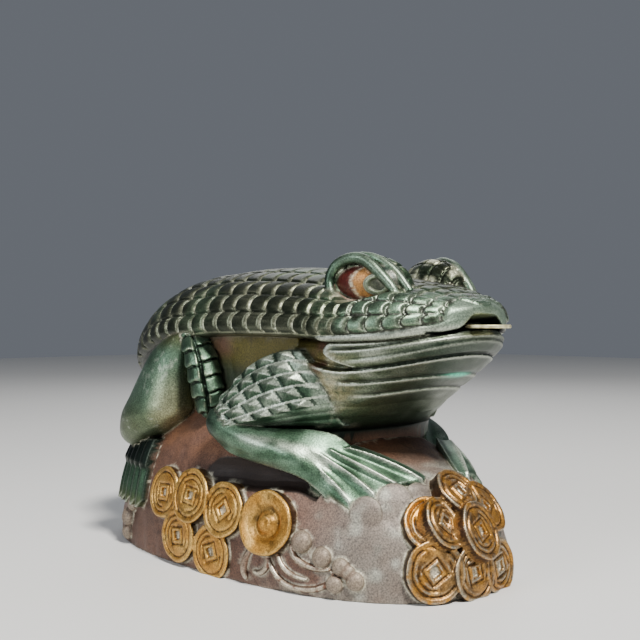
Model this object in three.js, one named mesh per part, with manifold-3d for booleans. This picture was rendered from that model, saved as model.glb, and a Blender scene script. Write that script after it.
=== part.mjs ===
// Carved wooden frog crouching on a domed mound, with a loose coin held in its mouth.
// Millimetres. +Z is up and the frog faces -Y. The origin is the centre of the flat underside.
import * as THREE from "three";
import { mergeVertices } from "three/addons/utils/BufferGeometryUtils.js";
import Module from "manifold-3d";

// Mound: a flat-bottomed dome on an oval footprint
const MOUND_HALF_LENGTH = 146.9;
const MOUND_HALF_WIDTH = 81.2;
const MOUND_PLAN_POWER = 2.4;
const MOUND_FALL_POWER = 2.6;
const MOUND_RISE_POWER = 0.4;
const MOUND_HEIGHT_ALONG = [[-147, 104], [-20, 104], [50, 91], [100, 82], [147, 80]];
const MOUND_SIDES = 32;
const MOUND_LEVELS = [0, 0.3, 0.56, 0.76, 0.9];
// Passes that settle a place on the wall, and the small step its normal is measured over
const WALL_PASSES = 6;
const WALL_STEP = 0.01;

// Back shell: rows of scales from the rump to the nose
const BACK_HALF_WIDTH = 62;
const BACK_ROWS = 11;
const SECTION_POWER = 2.2;
const RUMP_CENTRE = -40;
const RUMP_LENGTH = 101;
const RUMP_FALL = 1.12;
const RUMP_POWER = 2;
const RUMP_TIP_HEIGHT = 98;
const RUMP_COLUMNS = 9;
const HEAD_CENTRE = 66;
const HEAD_LENGTH = 82;
const HEAD_POWER = 2.05;
const HEAD_COLUMNS = 8;
const MIDDLE_COLUMNS = 8;
const RIDGE_HEIGHT = [
  [-40, 175], [-10, 177], [20, 176.4], [60, 173], [90, 168], [112, 164.5], [130, 160.5],
  [143, 156], [148, 153.2],
];
const LEDGE_HEIGHT = [
  [-40, 136], [-10, 138.5], [60, 138.5], [82, 137.5], [106, 138.8], [120, 140.4], [129, 142.4],
  [140, 145.5], [148, 152],
];
const SCALE_RELIEF = 1.9;
const SCALE_EDGE_SHARE = 0.2;
const SCALE_SWEEP = 0.2;
// Share of a column taken by the step between two scales, and columns over which scales fade at the tips
const SCALE_STEP = 0.12;
const SCALE_FADE = 2;
const LEDGE_DEPTH = 3.5;
const LEDGE_THICKNESS = 2;
const FLANK_INSET = 7;
// Levels of the flank: share of the height up to the ledge, inset from the ledge
const TRUNK_LEVELS = [[0, 16], [0.5, 12], [1.03, 9.5]];
const TRUNK_FOOT = 56;
const TRUNK_PITCH = 1.5;
const TRUNK_LEAST_HALF = 0.5;

// Mouth and throat
const LIP_HEIGHT = [[60, 131], [90, 131.6], [117, 132.6], [137, 137.6], [142, 139], [146, 141], [148, 142]];
const LIP_BULGE = 1.2;
const LIP_INSET = 0.4;
const LIP_START = 74;
const LIP_FULL = 84;
const LIP_TIP_FADE = 4;
const THROAT_CENTRE = 66;
const THROAT_POWER = 2.05;
// Each throat band line: height at the side, height at the front, forward reach, half width
const THROAT_LINES = [
  [137, 145, 138, 52],
  [131.3, 141, 145.6, 58.4],
  [127.6, 138, 148.4, 61.6],
  [123.0, 131, 145.4, 60.6],
  [120.0, 126.6, 139.2, 58.2],
  [117.2, 123, 137.2, 59.2],
  [113.2, 117, 127.4, 55.6],
  [110.0, 113, 123.0, 56.2],
  [106.0, 109.2, 115.0, 53.2],
  [103.4, 106, 110.4, 53.6],
  [98.0, 100, 98.0, 51.0],
  [84.0, 84.0, 80.0, 48.0],
  [64.0, 64.0, 77.0, 46.0],
];
const THROAT_STEPS = 12;
const THROAT_SWING = 1.38;
const THROAT_REAR = 30;
const THROAT_REAR_INSET = 13;
const CHIN_START = 92;
const MOUTH_LINE = 1;
// The slot runs back from the nose; its outline gives distances sideways and heights
const MOUTH_SLOT_BACK = 134.5;
const MOUTH_SLOT_LENGTH = 40;
const MOUTH_SLOT_OUTLINE = [
  [-27, 138], [-14, 145.4], [14, 145.4], [27, 138], [16, 140.6], [-16, 140.6],
];

// Eyes
const EYE_CENTRE = [88, 28, 162];
const EYE_RADII = [25.5, 14, 19.5];
const EYEBALL_CENTRE = [95.5, 33.5, 165];
const EYEBALL_RADII = [21, 9, 9.5];
const EYE_SPLAY = 14;
const EYE_LID = [
  [63, 39, 160], [68, 37.5, 173], [77, 36, 179.5], [87, 33.5, 181.6], [98, 31, 179],
  [108, 28.5, 171.5], [117, 26.5, 159],
];
const LID_RADIUS = 2.8;
const EYE_SIDES = [12, 5];
const EYEBALL_SIDES = [9, 5];

// Upper arm: forward, sideways and up at the elbow and the shoulder, for three edges of the arm
const ARM_TOP_EDGE = [[5, 78, 95], [63, 62, 131]];
const ARM_SCALE_EDGE = [[16, 80, 84], [77, 55, 101]];
const ARM_FOLD_EDGE = [[16, 80, 84], [74, 46, 87]];
const ARM_CORE = 28;
const ARM_TILES = 6;
const ARM_ROWS = 4;
const ARM_FOLDS = 1;
const ARM_ROUNDING = 9;
const ARM_EDGE_DROP = 0.9;
const ARM_RELIEF = 2.4;
const ARM_FOLD_SHARE = 0.5;
// How full the arm is at its elbow and at its shoulder, and how fast it fills out from each
const ARM_ELBOW_FILL = [0.45, 5];
const ARM_SHOULDER_FILL = [0.35, 4];

// Forearm stations: forward, sideways, up, half thickness sideways, half thickness up
const FOREARM_STATIONS = [
  [4, 72, 87, 3, 5],
  [9, 72, 86, 8, 9],
  [22, 71, 82, 9.5, 8.5],
  [40, 67, 77, 11, 8],
  [56, 60, 73, 12.5, 8.5],
  [68, 56, 68, 11, 8],
  [78, 55, 61, 6, 5],
];
// Toe lines of a forefoot: start forward, sideways, lift, then end forward, sideways, lift
const TOE_LINES = [
  [68, 64, 10, 94, 58, 2.5],
  [67, 62, 13, 98.5, 55.5, 4.5],
  [66, 59, 11, 98, 50, 2.5],
  [66, 56, 12, 108.5, 43.5, 4.5],
  [68, 51, 6.5, 105, 37, 2.5],
  [70, 45, 7.5, 113, 30.5, 4.5],
  [73, 40, 3, 109, 22.5, 2.5],
  [76, 34, 4, 118.5, 13.5, 4.5],
  [75, 28, 1, 113, 9, 1.5],
];
const TOE_STEPS = 3;
const FOOT_BURIAL = 9;
const FOOT_HEART = [86, 38];
const FOOT_UNDERCUT = 0.2;

// Hind leg: shin stations, then thigh stations: forward, sideways, up, half length, half thickness
const SHIN_STATIONS = [
  [-37, 59, 139, 5, 4],
  [-47, 59, 134.5, 10.5, 7],
  [-57, 59, 125, 15.5, 10],
  [-63, 59, 111, 20, 13.5],
  [-67, 59, 97, 25, 17],
  [-71, 59, 86, 28, 20],
  [-78, 59, 77, 25, 18],
  [-86, 60, 70, 18, 13],
  [-90, 60, 65, 11, 8],
];
const THIGH_STATIONS = [
  [-36, 55, 138, 6, 6],
  [-30, 56, 130, 8.5, 9],
  [-25, 56, 121, 9, 10],
  [-22, 56, 111, 9, 10],
  [-20, 55, 101, 9, 9.5],
  [-19, 54, 91, 6.5, 8],
];
const THIGH_RELIEF = 1.6;
const LEG_SIDES = 8;

// Hind foot: ribs down the wall of the mound
const HIND_FOOT_SPAN = [-108, -64];
const HIND_FOOT_TOP = 70;
const HIND_FOOT_FOOT = 27;
const HIND_TOES = 5;
const HIND_LEVELS = 3;
const HIND_TOE_LIFT = 4.5;
const HIND_GAP_LIFT = 2;
const HIND_GAP_RISE = 5;
const HIND_LEAN = 0.4;
const HIND_BURIAL = 8;
const HIND_BURIAL_SHIFT = 3;

// Relief coins on the mound: bearing in degrees from the front, height, radius, lift, and a turn
// in degrees towards the front
const COIN_RADIUS = 15.8;
const PIERCED_COINS = [
  [-103.6, 40.5, COIN_RADIUS, 4.5, 0],
  [-91.2, 41.5, COIN_RADIUS, 7, 0],
  [-79.6, 37.5, COIN_RADIUS, 5, 0],
  [-95.6, 19, COIN_RADIUS, 4.5, 0],
  [-1, 49, COIN_RADIUS, 6, 6],
  [-18.3, 37.5, COIN_RADIUS, 4, 18],
  [1.2, 30.5, COIN_RADIUS + 0.7, 8, 12],
  [-24.3, 16, COIN_RADIUS + 0.5, 3.5, 0],
  [-8, 13.5, COIN_RADIUS, 3.5, 4],
];
const PLAIN_COINS = [
  [-84, 13.5, COIN_RADIUS, 2.5, 0],
  [9, 13, COIN_RADIUS, 2, 0],
  [14, 41, COIN_RADIUS, 1.5, 0],
  [97, 36, COIN_RADIUS, 4.5, 0],
  [84, 28, COIN_RADIUS, 3, 0],
];
const BOSS_COINS = [[-67, 34.5, 17.8, 5, 0]];
const COIN_SIDES = 10;
const COIN_RIM = 2.2;
const COIN_SINK = 1.3;
const COIN_HOLE = 6.2;
const COIN_HOLE_DEPTH = 1.8;
const COIN_BURIAL = 9;
// Profile of the coin with a boss: shares of the radius and distances below the rim
const BOSS_PROFILE = [[0.85, 0], [0.48, 2.4], [0.24, 0], [0, -0.4]];

// Wave, foam and pebbles carved low on the near side: bearing, height, radius
const FOAM_BALLS = [
  [-58, 27, 6.5], [-53.5, 21, 6.5], [-48.8, 17.5, 6.5], [-45.7, 9.7, 6], [-69.9, 13, 6],
  [-18.7, 55, 5], [-123.6, 15.5, 6], [60, 20, 6.5],
];
const WAVE_LINES = [
  [[-64.8, 22], [-63.1, 12.5], [-59.6, 7], [-55.1, 5], [-51, 7], [-48.4, 12.5]],
  [[-61.1, 26], [-59.8, 20.3], [-57.3, 16.3], [-53.9, 14.5], [-50.2, 15.7]],
  [[-71.2, 22], [-74, 12], [-72.5, 4], [-68, 2.5]],
];
const WAVE_RADIUS = 2.8;

// Ridges of the eyelids and the wave
const RIDGE_SIDES = 4;
const RIDGE_END_SHARE = 0.35;

// Loose coin in the mouth
const MOUTH_COIN_RADIUS = 12.5;
const MOUTH_COIN_THICKNESS = 2;
const MOUTH_COIN_CENTRE = [148, 0, 142.6];
const MOUTH_COIN_HOLE = 5;
const MOUTH_COIN_SIDES = 24;
const FLOOR_SIZE = 600;

const GREEN = new THREE.MeshStandardMaterial({ color: 0x35523f, roughness: 0.42, metalness: 0.45 });
const BRASS = new THREE.MeshStandardMaterial({ color: 0xb9a56a, roughness: 0.35, metalness: 0.9 });

const wasm = await Module();
wasm.setup();

// A point from forward, leftward and upward distances
function at(forward, left, up) {
  return new THREE.Vector3(left, -forward, up);
}

function mix(a, b, t) {
  return a + (b - a) * t;
}

// A smooth curve through [x, y] pairs, held level past its ends
function track(pairs) {
  const slopes = pairs.map((p, i) => {
    const before = pairs[Math.max(i - 1, 0)];
    const after = pairs[Math.min(i + 1, pairs.length - 1)];
    return (after[1] - before[1]) / (after[0] - before[0]);
  });
  return (x) => {
    if (x <= pairs[0][0]) return pairs[0][1];
    if (x >= pairs[pairs.length - 1][0]) return pairs[pairs.length - 1][1];
    const i = pairs.findIndex((p) => p[0] > x) - 1;
    const width = pairs[i + 1][0] - pairs[i][0];
    const t = (x - pairs[i][0]) / width;
    const a = (1 + 2 * t) * (1 - t) ** 2 * pairs[i][1];
    const b = t * (1 - t) ** 2 * width * slopes[i];
    const c = t * t * (3 - 2 * t) * pairs[i + 1][1];
    const d = t * t * (t - 1) * width * slopes[i + 1];
    return a + b + c + d;
  };
}

const moundHeight = track(MOUND_HEIGHT_ALONG);
const ridgeHeight = track(RIDGE_HEIGHT);
const ledgeHeight = track(LEDGE_HEIGHT);
const lipHeight = track(LIP_HEIGHT);

// Distance to an oval of unit radius along a direction
function ovalReach(x, y, power) {
  return 1 / (Math.abs(x) ** power + Math.abs(y) ** power) ** (1 / power);
}

// A closed mesh from its corners and triangles, turned so that its faces point out
function closedMesh(points, triangles) {
  let volume = 0;
  for (const [a, b, c] of triangles) {
    volume += points[a].dot(new THREE.Vector3().crossVectors(points[b], points[c]));
  }
  const index = triangles.flatMap(([a, b, c]) => (volume < 0 ? [a, c, b] : [a, b, c]));
  const geometry = new THREE.BufferGeometry().setFromPoints(points);
  geometry.setIndex(index);
  return geometry;
}

// A skin over rings of equal length, closed at both ends
function skin(rings) {
  const size = rings[0].length;
  const points = rings.flat();
  const triangles = [];
  for (let i = 0; i + 1 < rings.length; i++) {
    for (let j = 0; j < size; j++) {
      const a = i * size + j;
      const b = i * size + ((j + 1) % size);
      triangles.push([a, b, b + size], [a, b + size, a + size]);
    }
  }
  for (const [ring, flip] of [[0, true], [rings.length - 1, false]]) {
    const hub = points.length;
    const middle = rings[ring].reduce((sum, p) => sum.add(p), new THREE.Vector3());
    points.push(middle.divideScalar(size));
    for (let j = 0; j < size; j++) {
      const a = ring * size + j;
      const b = ring * size + ((j + 1) % size);
      triangles.push(flip ? [b, a, hub] : [a, b, hub]);
    }
  }
  return closedMesh(points, triangles);
}

// A slab between an upper and a lower grid of points
function slab(upper, lower) {
  const rows = upper.length;
  const columns = upper[0].length;
  const points = [...upper.flat(), ...lower.flat()];
  const under = rows * columns;
  const triangles = [];
  for (let i = 0; i + 1 < rows; i++) {
    for (let j = 0; j + 1 < columns; j++) {
      const a = i * columns + j;
      const b = a + 1;
      const c = a + columns;
      const d = c + 1;
      triangles.push([a, b, d], [a, d, c]);
      triangles.push([a + under, d + under, b + under], [a + under, c + under, d + under]);
    }
  }
  const rim = [];
  for (let j = 0; j < columns; j++) rim.push(j);
  for (let i = 1; i < rows; i++) rim.push(i * columns + columns - 1);
  for (let j = columns - 2; j >= 0; j--) rim.push((rows - 1) * columns + j);
  for (let i = rows - 2; i > 0; i--) rim.push(i * columns);
  rim.forEach((a, k) => {
    const b = rim[(k + 1) % rim.length];
    triangles.push([b, a, a + under], [b, a + under, b + under]);
  });
  return closedMesh(points, triangles);
}

// A ridge along a path of points, thinner at its ends
function ridge(path, radius) {
  const curve = new THREE.CatmullRomCurve3(path);
  const steps = path.length;
  const up = new THREE.Vector3(0, 0, 1);
  const rings = [];
  for (let i = 0; i <= steps; i++) {
    const centre = curve.getPoint(i / steps);
    const along = curve.getTangent(i / steps);
    const side = new THREE.Vector3().crossVectors(along, up).normalize();
    const top = new THREE.Vector3().crossVectors(side, along).normalize();
    const swell = radius * mix(RIDGE_END_SHARE, 1, Math.sin((Math.PI * i) / steps) ** 0.5);
    const ring = [];
    for (let j = 0; j < RIDGE_SIDES; j++) {
      const turn = (2 * Math.PI * j) / RIDGE_SIDES;
      const offset = side.clone().multiplyScalar(Math.cos(turn)).addScaledVector(top, Math.sin(turn));
      ring.push(centre.clone().addScaledVector(offset, swell));
    }
    rings.push(ring);
  }
  return skin(rings);
}

// Level ovals through stations of forward, sideways, up, half length and half thickness.
// Relief lifts every other point of every other oval, as rows of scales.
function limb(stations, side, relief) {
  return skin(
    stations.map(([forward, out, up, length, thickness], i) => {
      const ring = [];
      for (let j = 0; j < LEG_SIDES; j++) {
        const turn = (2 * Math.PI * j) / LEG_SIDES;
        const extra = (i % 2) * (j % 2) * relief;
        const x = (length + extra) * Math.cos(turn);
        const y = (thickness + extra) * Math.sin(turn);
        ring.push(at(forward + x, side * (out + y), up));
      }
      return ring;
    }),
  );
}

// Upright ovals through stations of forward, sideways, up, half thickness and half height
function reachingLimb(stations, side) {
  return skin(
    stations.map(([forward, out, up, thickness, height], i) => {
      const before = stations[Math.max(i - 1, 0)];
      const after = stations[Math.min(i + 1, stations.length - 1)];
      const heading = Math.atan2(after[1] - before[1], after[0] - before[0]);
      const ring = [];
      for (let j = 0; j < LEG_SIDES; j++) {
        const turn = (2 * Math.PI * j) / LEG_SIDES;
        const x = thickness * Math.cos(turn);
        const rise = height * Math.sin(turn);
        ring.push(at(forward - x * Math.sin(heading), side * (out + x * Math.cos(heading)), up + rise));
      }
      return ring;
    }),
  );
}

function ball(centre, radii, splay, sides) {
  const geometry = new THREE.SphereGeometry(1, ...sides);
  geometry.scale(radii[1], radii[0], radii[2]);
  geometry.rotateZ(THREE.MathUtils.degToRad(splay));
  geometry.translate(centre[1], -centre[0], centre[2]);
  return geometry;
}

function toSolid(geometry) {
  const bare = geometry.clone();
  bare.deleteAttribute("normal");
  bare.deleteAttribute("uv");
  const merged = mergeVertices(bare, 1e-4);
  const mesh = new wasm.Mesh({
    numProp: 3,
    vertProperties: Float32Array.from(merged.attributes.position.array),
    triVerts: Uint32Array.from(merged.index.array),
  });
  return new wasm.Manifold(mesh);
}

// Height of the mound over a point of its footprint
function moundTop(forward, left) {
  const oval = 1 / ovalReach(forward / MOUND_HALF_LENGTH, left / MOUND_HALF_WIDTH, MOUND_PLAN_POWER);
  return moundHeight(forward) * Math.max(1 - Math.min(oval, 1) ** MOUND_FALL_POWER, 0) ** MOUND_RISE_POWER;
}

// How far in from the footprint the mound's wall stands at a share of its height
function wallInset(share) {
  return (1 - share ** (1 / MOUND_RISE_POWER)) ** (1 / MOUND_FALL_POWER);
}

// Point of the mound's wall at a bearing and a share of its height
function moundPoint(bearing, share) {
  const x = Math.cos(bearing);
  const y = Math.sin(bearing);
  const reach = ovalReach(x, y, MOUND_PLAN_POWER);
  const forward = MOUND_HALF_LENGTH * x * reach * wallInset(share);
  const left = MOUND_HALF_WIDTH * y * reach * wallInset(share);
  return at(forward, left, moundHeight(forward) * share);
}

// Point of the mound's wall at a bearing in degrees and a height, with the outward normal
function wallPlace(degrees, height) {
  const bearing = THREE.MathUtils.degToRad(degrees);
  let share = height / moundHeight(0);
  for (let i = 0; i < WALL_PASSES; i++) share = height / moundHeight(-moundPoint(bearing, share).y);
  const step = WALL_STEP;
  const point = moundPoint(bearing, share);
  const across = moundPoint(bearing + step, share).sub(moundPoint(bearing - step, share));
  const upward = moundPoint(bearing, share + step).sub(moundPoint(bearing, share - step));
  return { point, normal: across.cross(upward).normalize() };
}

function mound() {
  const rings = MOUND_LEVELS.map((share) => {
    const ring = [];
    for (let j = 0; j < MOUND_SIDES; j++) ring.push(moundPoint((2 * Math.PI * j) / MOUND_SIDES, share));
    return ring;
  });
  return skin(rings);
}

// Frame of the back at a column: ledge and crest as forward and up, and half width
function backFrame(column) {
  const quarter = Math.PI / 2;
  if (column < RUMP_COLUMNS) {
    const turn = (quarter * column) / RUMP_COLUMNS;
    const reach = ovalReach(Math.cos(turn) / RUMP_LENGTH, Math.sin(turn) / BACK_HALF_WIDTH, RUMP_POWER);
    const rise = Math.sin(turn);
    const crestRise = rise ** RUMP_FALL;
    const ledgeUp = mix(RUMP_TIP_HEIGHT, ledgeHeight(RUMP_CENTRE), rise);
    const crestUp = mix(RUMP_TIP_HEIGHT, ridgeHeight(RUMP_CENTRE), crestRise);
    return {
      ledge: [RUMP_CENTRE - reach * Math.cos(turn), ledgeUp],
      crest: [RUMP_CENTRE - RUMP_LENGTH * Math.cos(turn), crestUp],
      half: reach * rise,
    };
  }
  if (column <= RUMP_COLUMNS + MIDDLE_COLUMNS) {
    const share = (column - RUMP_COLUMNS) / MIDDLE_COLUMNS;
    const forward = mix(RUMP_CENTRE, HEAD_CENTRE, share);
    return {
      ledge: [forward, ledgeHeight(forward)],
      crest: [forward, ridgeHeight(forward)],
      half: BACK_HALF_WIDTH,
    };
  }
  const turn = (quarter * (column - RUMP_COLUMNS - MIDDLE_COLUMNS)) / HEAD_COLUMNS;
  const reach = ovalReach(Math.sin(turn) / HEAD_LENGTH, Math.cos(turn) / BACK_HALF_WIDTH, HEAD_POWER);
  const forward = HEAD_CENTRE + reach * Math.sin(turn);
  return {
    ledge: [forward, ledgeHeight(forward)],
    crest: [forward, ridgeHeight(forward)],
    half: reach * Math.cos(turn),
  };
}

// Point of the back at a column and an angle from the ridge, lifted off its base surface
function backPoint(column, angle, lift) {
  const { ledge, crest, half } = backFrame(column);
  const out = Math.sign(angle) * Math.abs(Math.sin(angle)) ** (2 / SECTION_POWER);
  const up = Math.max(Math.cos(angle), 0) ** (2 / SECTION_POWER);
  const size = Math.hypot(half * out, crest[1] - ledge[1], 1);
  const grow = 1 + lift / size;
  return at(
    ledge[0] + (crest[0] - ledge[0]) * up * grow,
    half * out * grow,
    ledge[1] + (crest[1] - ledge[1]) * up * grow,
  );
}

// Cross-section of the back: scales over the top, the ledge or the lip at each side
function backRing(column, relief, sweep) {
  const { ledge, half } = backFrame(column);
  const [forward, height] = ledge;
  const ring = [];
  for (let k = 0; k <= 2 * BACK_ROWS; k++) {
    const angle = -Math.PI / 2 + (Math.PI * k) / (2 * BACK_ROWS);
    const middle = k % 2;
    const shift = middle ? -sweep : 0;
    ring.push(backPoint(column + shift, angle, middle ? relief : relief * SCALE_EDGE_SHARE));
  }
  const inHead = THREE.MathUtils.smoothstep(forward, LIP_START, LIP_FULL);
  const tip = Math.min(1, (LIP_TIP_FADE * half) / BACK_HALF_WIDTH);
  const bulgeHalf = mix(half - LIP_INSET, half + LIP_BULGE, inHead) * tip;
  const bulgeHeight = mix(height - LEDGE_DEPTH, mix(height, lipHeight(forward), 0.5), inHead);
  const lowHalf = Math.max(mix(half - FLANK_INSET, half - LIP_INSET, inHead), 0);
  const lowHeight = mix(height - LEDGE_DEPTH - LEDGE_THICKNESS, lipHeight(forward), inHead);
  ring.push(at(forward, bulgeHalf, bulgeHeight));
  ring.push(at(forward, lowHalf, lowHeight));
  ring.push(at(forward, -lowHalf, lowHeight));
  ring.push(at(forward, -bulgeHalf, bulgeHeight));
  return ring;
}

function backShell() {
  const columns = RUMP_COLUMNS + MIDDLE_COLUMNS + HEAD_COLUMNS;
  const rings = [];
  for (let c = 0; c < columns; c++) {
    const fade = Math.min(1, c / SCALE_FADE, (columns - c) / SCALE_FADE);
    rings.push(backRing(Math.max(c, SCALE_STEP), SCALE_RELIEF * fade, SCALE_SWEEP * fade));
    rings.push(backRing(c + 1 - SCALE_STEP, 0, SCALE_SWEEP * fade));
  }
  return skin(rings);
}

// Flank below the ledge of the back, running down into the mound
function trunk() {
  const rings = TRUNK_LEVELS.map(([share, inset]) => {
    const nearSide = [];
    const farSide = [];
    for (let column = 0; column <= RUMP_COLUMNS + MIDDLE_COLUMNS; column += TRUNK_PITCH) {
      const { ledge, half } = backFrame(column);
      const forward = RUMP_CENTRE + (ledge[0] - RUMP_CENTRE) * (1 - inset / RUMP_LENGTH);
      const out = Math.max(half * (1 - inset / BACK_HALF_WIDTH), TRUNK_LEAST_HALF);
      const up = mix(TRUNK_FOOT, ledge[1], share);
      nearSide.push(at(forward, -out, up));
      farSide.unshift(at(forward, out, up));
    }
    return [...nearSide, ...farSide];
  });
  return skin(rings);
}

// Throat bag and lower jaw, banded by grooves that wrap under the chin
function throat() {
  const rings = THROAT_LINES.map(([sideHeight, frontHeight, reach, half], line) => {
    const ring = [];
    const length = reach - THROAT_CENTRE;
    for (let j = 0; j <= THROAT_STEPS; j++) {
      const turn = THROAT_SWING * ((2 * j) / THROAT_STEPS - 1);
      const radius = ovalReach(Math.cos(turn) / length, Math.sin(turn) / half, THROAT_POWER);
      const forward = THROAT_CENTRE + radius * Math.cos(turn);
      const share = Math.max(0, (forward - CHIN_START) / (reach - CHIN_START));
      const up = line === MOUTH_LINE ? lipHeight(forward) : mix(sideHeight, frontHeight, share ** 2);
      ring.push(at(forward, radius * Math.sin(turn), up));
    }
    ring.push(at(THROAT_REAR, half - THROAT_REAR_INSET, sideHeight));
    ring.push(at(THROAT_REAR, THROAT_REAR_INSET - half, sideHeight));
    return ring;
  });
  return skin(rings);
}

function mouthSlot() {
  const outline = new THREE.Shape(MOUTH_SLOT_OUTLINE.map(([x, y]) => new THREE.Vector2(x, y)));
  const geometry = new THREE.ExtrudeGeometry(outline, { depth: MOUTH_SLOT_LENGTH, bevelEnabled: false });
  geometry.rotateX(Math.PI / 2);
  geometry.translate(0, -MOUTH_SLOT_BACK, 0);
  return geometry;
}

// Upper arm: a wedge of square pyramid scales over a fold that fans forward
function upperArm(side) {
  const long = 2 * ARM_TILES;
  const scaled = 2 * ARM_ROWS;
  const across = scaled + 2 * ARM_FOLDS;
  const outer = [];
  const core = [];
  for (let i = 0; i <= long; i++) {
    const s = i / long;
    const [top, foot, fold] = [ARM_TOP_EDGE, ARM_SCALE_EDGE, ARM_FOLD_EDGE].map(([elbow, shoulder]) =>
      elbow.map((x, n) => mix(x, shoulder[n], s)));
    const [elbowFill, elbowRate] = ARM_ELBOW_FILL;
    const [shoulderFill, shoulderRate] = ARM_SHOULDER_FILL;
    const fill = Math.min(1, elbowFill + s * elbowRate, shoulderFill + (1 - s) * shoulderRate);
    const outerRow = [];
    const coreRow = [];
    for (let j = 0; j <= across; j++) {
      const inScales = j <= scaled;
      const t = inScales ? j / scaled : (j - scaled) / (across - scaled);
      const [from, to] = inScales ? [top, foot] : [foot, fold];
      const [forward, reach, up] = from.map((x, n) => mix(x, to[n], t));
      const round = Math.sqrt(1 - ARM_EDGE_DROP * ((2 * j) / across - 1) ** 2);
      const bump = inScales ? (i % 2) * (j % 2) : (j % 2) * ARM_FOLD_SHARE;
      const out = reach - ARM_ROUNDING * (1 - round * fill) + ARM_RELIEF * bump * fill;
      outerRow.push(at(forward, side * out, up));
      coreRow.push(at(forward, side * ARM_CORE, up));
    }
    outer.push(outerRow);
    core.push(coreRow);
  }
  return slab(outer, core);
}

// Webbed forefoot lying on the mound, with a raised line down each toe
function forefoot(side) {
  const upper = [];
  const lower = [];
  for (let i = 0; i <= TOE_STEPS; i++) {
    const s = i / TOE_STEPS;
    const top = [];
    const buried = [];
    for (const [u0, v0, lift0, u1, v1, lift1] of TOE_LINES) {
      const forward = mix(u0, u1, s);
      const out = mix(v0, v1, s);
      const ground = moundTop(forward, out);
      top.push(at(forward, side * out, ground + mix(lift0, lift1, s)));
      const underForward = mix(forward, FOOT_HEART[0], FOOT_UNDERCUT);
      const underOut = mix(out, FOOT_HEART[1], FOOT_UNDERCUT);
      buried.push(at(underForward, side * underOut, ground - FOOT_BURIAL));
    }
    upper.push(top);
    lower.push(buried);
  }
  return slab(upper, lower);
}

// Hind foot: toes pressed down the wall of the mound
function hindFoot(side) {
  const columns = 2 * HIND_TOES;
  const upper = [];
  const lower = [];
  for (let i = 0; i <= HIND_LEVELS; i++) {
    const top = [];
    const buried = [];
    for (let j = 0; j <= columns; j++) {
      const toe = j % 2;
      const low = HIND_FOOT_FOOT + (toe ? 0 : HIND_GAP_RISE);
      const height = mix(HIND_FOOT_TOP, low, i / HIND_LEVELS);
      const forward = mix(HIND_FOOT_SPAN[0], HIND_FOOT_SPAN[1], j / columns);
      const oval = wallInset(height / moundHeight(forward)) ** MOUND_PLAN_POWER;
      const rest = oval - (Math.abs(forward) / MOUND_HALF_LENGTH) ** MOUND_PLAN_POWER;
      const out = MOUND_HALF_WIDTH * Math.max(rest, 0) ** (1 / MOUND_PLAN_POWER);
      const lift = toe ? HIND_TOE_LIFT : HIND_GAP_LIFT;
      top.push(at(forward - lift * HIND_LEAN, side * (out + lift), height));
      buried.push(at(forward + HIND_BURIAL_SHIFT, side * (out - HIND_BURIAL), height));
    }
    upper.push(top);
    lower.push(buried);
  }
  return slab(upper, lower);
}

// Stands a shape made about the origin, facing +Z, on the mound's wall
function placeOnWall(geometry, degrees, height, turn = 0) {
  const { point, normal } = wallPlace(degrees, height);
  normal.applyAxisAngle(new THREE.Vector3(0, 0, 1), THREE.MathUtils.degToRad(turn));
  const across = new THREE.Vector3(0, 0, 1).cross(normal).normalize();
  const upward = new THREE.Vector3().crossVectors(normal, across);
  const matrix = new THREE.Matrix4().makeBasis(across, upward, normal).setPosition(point);
  return geometry.applyMatrix4(matrix);
}

// A relief coin: raised rim and sunk face, with a square hole, a round boss or neither
function reliefCoin([degrees, height, radius, lift, turn], middle) {
  const face = lift - COIN_SINK;
  const outline = [[0, -COIN_BURIAL], [radius, -COIN_BURIAL], [radius, lift]];
  if (middle === "boss") {
    outline.push(...BOSS_PROFILE.map(([share, depth]) => [radius * share, lift - depth]));
  } else {
    outline.push([radius - COIN_RIM, face], [0, face]);
  }
  const profile = outline.map(([r, z]) => new THREE.Vector2(r, z));
  const disc = new THREE.LatheGeometry(profile, COIN_SIDES);
  disc.rotateX(Math.PI / 2);
  const solid = toSolid(placeOnWall(disc, degrees, height, turn));
  if (middle !== "hole") return solid;
  const cutter = new THREE.BoxGeometry(COIN_HOLE, COIN_HOLE, 2 * COIN_HOLE_DEPTH);
  cutter.translate(0, 0, face);
  return solid.subtract(toSolid(placeOnWall(cutter, degrees, height, turn)));
}

function foamBall([degrees, height, radius]) {
  return placeOnWall(new THREE.IcosahedronGeometry(radius, 0), degrees, height);
}

function waveRidge(line) {
  const path = line.map(([degrees, height]) => wallPlace(degrees, height).point);
  return ridge(path, WAVE_RADIUS);
}

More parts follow.
